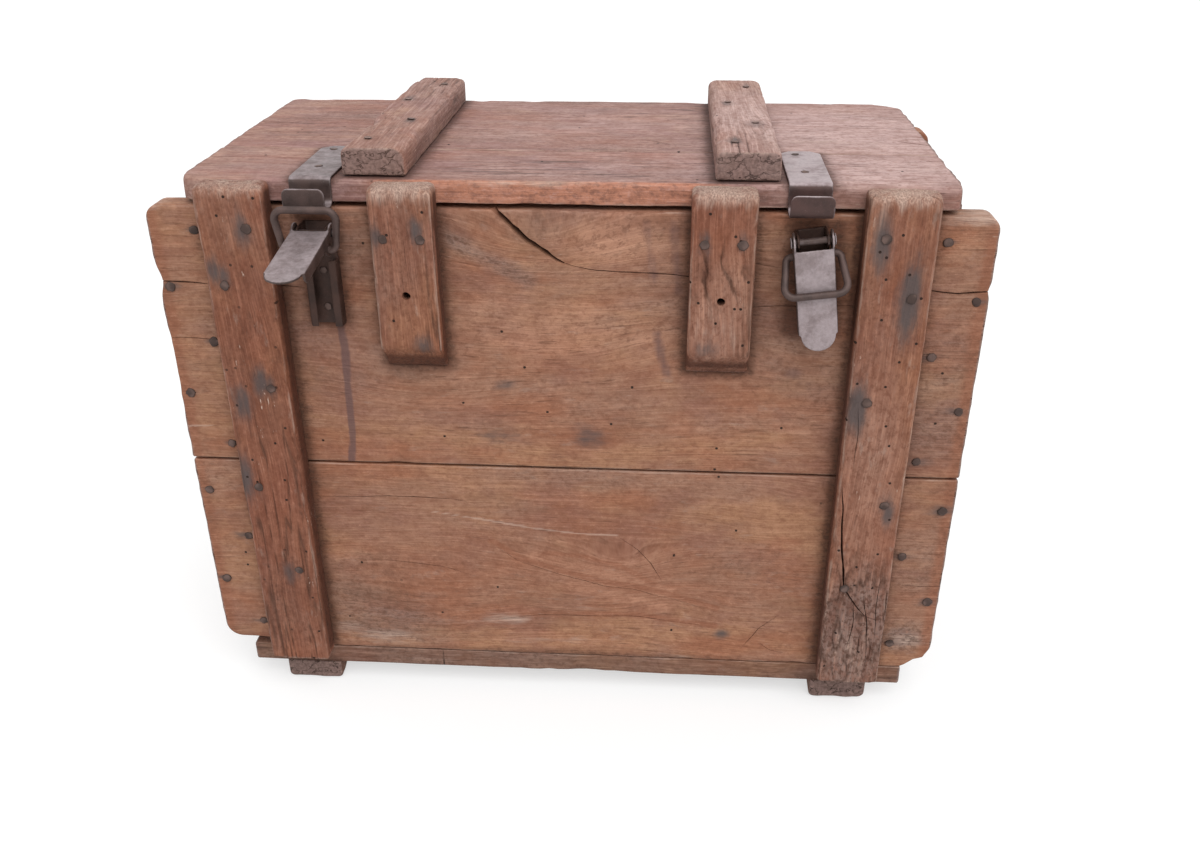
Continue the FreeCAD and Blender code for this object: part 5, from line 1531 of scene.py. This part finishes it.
class TRUNK_OT_hooks(bpy.types.Operator):
    """Makes worn copies of the hook plates that wrap over the lid's front edge"""

    bl_idname = "trunk.hooks"
    bl_label = "Hook plates"

    def execute(self, context):
        steel = steel_settings()
        for side, sign in SIDES:
            # The right hook plate is painted brighter than the left, with a stronger painted sheen on its
            # upward faces
            worn_copy(f"{side}_hook_plate", "lid", "latch_steel", steel.latch_voxel, steel.dent, smooth=4,
                      seed=71.0 + sign, sheen_axis=(0, 0, 1), rub_and_sheen=1.0 if sign > 0 else 0.62, gain=0.55,
                      finish="strap_steel" if sign > 0 else None)
        return {"FINISHED"}


class TRUNK_OT_latches(bpy.types.Operator):
    """Makes the latch bases, their pins, the levers and the wire bails"""

    bl_idname = "trunk.latches"
    bl_label = "Toggle latches"

    def execute(self, context):
        steel = steel_settings()
        for side, sign in SIDES:
            # The way each lever's painted sheen faces: up on the left, to the front on the right, where it is
            # painted brighter
            rub_and_sheen = (0, 0.2, 0.98) if sign < 0 else (0, -1, 0)
            worn_copy(f"{side}_latch_base", "carcase", "latch_steel", steel.latch_voxel, steel.dent, smooth=5,
                      seed=75.0 + sign, gain=0.3, finish="base_steel")
            worn_copy(f"{side}_latch_pin", "carcase", "latch_steel", steel.latch_voxel * 0.8,
                      steel.dent * 0.5, seed=78.0 + sign)
            worn_copy(f"{side}_latch_lever", f"{side}_lever", "latch_steel", steel.latch_voxel, steel.dent,
                      smooth=6, seed=81.0 + sign, sheen_axis=rub_and_sheen, rub_and_sheen=1.0 if sign > 0 else 0.72, gain=0.35)
            worn_copy(f"{side}_latch_bail", f"{side}_bail", "wire_steel", steel.latch_voxel * 0.8, steel.dent,
                      seed=84.0 + sign, gain=0.5)
        return {"FINISHED"}


class TRUNK_OT_hinges(bpy.types.Operator):
    """Makes the butt hinges behind the lid"""

    bl_idname = "trunk.hinges"
    bl_label = "Hinges"

    def execute(self, context):
        steel = steel_settings()
        for side, sign in SIDES:
            for piece, body, smooth in (("body_leaf", "carcase", 2), ("lid_leaf", "lid", 2),
                                        ("pin", "carcase", 7)):
                worn_copy(f"{side}_hinge_{piece}", body, "hinge_iron", steel.hinge_voxel, steel.dent * 0.8,
                          smooth=smooth, seed=88.0 + sign)
        return {"FINISHED"}


class TRUNK_OT_nails(bpy.types.Operator):
    """Drives the nails and screws"""

    bl_idname = "trunk.nails"
    bl_label = "Nails and screws"

    def execute(self, context):
        batten_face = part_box("left_front_batten")[0].y

        def proud(seat, draw):
            return draw.uniform(0.7, 1.2) * MM

        def flush(seat, draw):
            return draw.uniform(0.2, 0.45) * MM

        def on_front(seat, draw):
            return flush(seat, draw) if seat["top"][1] < batten_face + 1 * MM else proud(seat, draw)

        drive_nails("front_nails", "carcase", 91, on_front)
        for number, group in enumerate(("back_nails", "end_nails", "floor_nails", "skid_nails")):
            drive_nails(group, "carcase", 92 + number, proud)
        drive_nails("lid_nails", "lid", 97, flush, 0.78, "pale_nail_iron")
        drive_nails("hook_nails", "lid", 98, flush)
        drive_nails("latch_nails", "carcase", 99, proud)
        drive_nails("hinge_body_screws", "carcase", 100, proud)
        drive_nails("hinge_lid_screws", "lid", 101, proud)
        return {"FINISHED"}


SENSOR_WIDTH = 36.0
FLOOR_RADIUS = 14.0
# The floor glows for the camera until it is as white as this, with the light it throws back.
FLOOR_WHITE = 1.02


def seen_rays(graph):
    """1 for the rays that show a background: those of the camera, and mirrored or bent ones."""
    rays = graph.add("ShaderNodeLightPath").outputs
    mirrored = graph.math("MAXIMUM", rays["Is Camera Ray"], rays["Is Glossy Ray"])
    return graph.math("MAXIMUM", mirrored, rays["Is Transmission Ray"])


class TRUNK_OT_stage(bpy.types.Operator):
    """Sets the camera, the pale floor and the studio light"""

    bl_idname = "trunk.stage"
    bl_label = "Stage"

    def execute(self, context):
        stage = stage_settings()
        scene = context.scene
        lens = bpy.data.cameras.new("photo_camera")
        lens.lens = stage.lens
        lens.sensor_width = SENSOR_WIDTH
        lens.sensor_fit = "HORIZONTAL"
        lens.clip_start = 0.01
        camera = link(bpy.data.objects.new("photo_camera", lens))
        level = Vector((math.sin(stage.yaw), math.cos(stage.yaw), 0.0))
        ahead = level * math.cos(stage.pitch) + Z_WAY * math.sin(stage.pitch)
        right = Vector((level.y, -level.x, 0.0))
        above = right.cross(ahead)
        rolled_right = right * math.cos(stage.roll) + above * math.sin(stage.roll)
        rolled_up = above * math.cos(stage.roll) - right * math.sin(stage.roll)
        turn = Matrix((rolled_right, rolled_up, -ahead)).transposed().to_4x4()
        camera.matrix_world = Matrix.Translation(Vector(stage.eye)) @ turn
        scene.camera = camera

        ground = bpy.data.meshes.new("studio_floor")
        build = bmesh.new()
        bmesh.ops.create_circle(build, cap_ends=True, radius=FLOOR_RADIUS, segments=96)
        build.to_mesh(ground)
        build.free()
        floor = link(bpy.data.objects.new("studio_floor", ground))
        floor.location.z = -0.5 * MM
        pale, graph, shader = new_material("studio_floor")
        shader.inputs["Base Color"].default_value = (stage.floor, stage.floor, stage.floor, 1.0)
        shader.inputs["Roughness"].default_value = 0.9
        shader.inputs["Specular IOR Level"].default_value = 0.0
        shader.inputs["Emission Color"].default_value = WHITE
        graph.put(shader.inputs["Emission Strength"], graph.part(seen_rays(graph), FLOOR_WHITE - stage.floor))
        ground.materials.append(pale)

        world = bpy.data.worlds.new("studio")
        world.use_nodes = True
        sky = Graph(world.node_tree)
        even = next(node for node in world.node_tree.nodes if node.type == "BACKGROUND")
        even.inputs["Color"].default_value = WHITE
        sky.put(even.inputs["Strength"], sky.step(seen_rays(sky), 0.0, 1.0, stage.sky, 1.0))
        scene.world = world

        lamp = bpy.data.lights.new("lamp", "SUN")
        lamp.energy = stage.sun
        lamp.angle = stage.sun_spread
        holder = link(bpy.data.objects.new("lamp", lamp))
        holder.rotation_euler = Vector(stage.sun_way).to_track_quat("Z", "Y").to_euler()
        scene.view_settings.view_transform = "Standard"
        return {"FINISHED"}


PIECES = (TRUNK_OT_walls, TRUNK_OT_floor, TRUNK_OT_battens, TRUNK_OT_grips, TRUNK_OT_lid, TRUNK_OT_hooks,
          TRUNK_OT_latches, TRUNK_OT_hinges, TRUNK_OT_nails, TRUNK_OT_stage)


class TRUNK_PT_panel(bpy.types.Panel):
    """Lists the trunk's pieces and settings"""

    bl_idname = "TRUNK_PT_panel"
    bl_label = "Plank trunk"
    bl_space_type = "VIEW_3D"
    bl_region_type = "UI"
    bl_category = "Trunk"

    def draw(self, context):
        for piece in PIECES:
            self.layout.operator(piece.bl_idname)
        for settings in (wood_settings(), steel_settings(), stage_settings()):
            box = self.layout.box()
            for name in settings.__annotations__:
                box.prop(settings, name)


CLASSES = (TrunkWood, TrunkSteel, TrunkStage, *PIECES, TRUNK_PT_panel)


def register():
    for item in CLASSES:
        bpy.utils.register_class(item)
    bpy.types.Scene.trunk_wood = PointerProperty(type=TrunkWood)
    bpy.types.Scene.trunk_steel = PointerProperty(type=TrunkSteel)
    bpy.types.Scene.trunk_stage = PointerProperty(type=TrunkStage)


def unregister():
    for name in ("trunk_wood", "trunk_steel", "trunk_stage"):
        delattr(bpy.types.Scene, name)
    for item in reversed(CLASSES):
        bpy.utils.unregister_class(item)


def main():
    register()
    for piece in PIECES:
        category, name = piece.bl_idname.split(".")
        if getattr(getattr(bpy.ops, category), name)() != {"FINISHED"}:
            raise RuntimeError(f"{piece.bl_label} didn't finish")


if __name__ == "__main__":
    main()
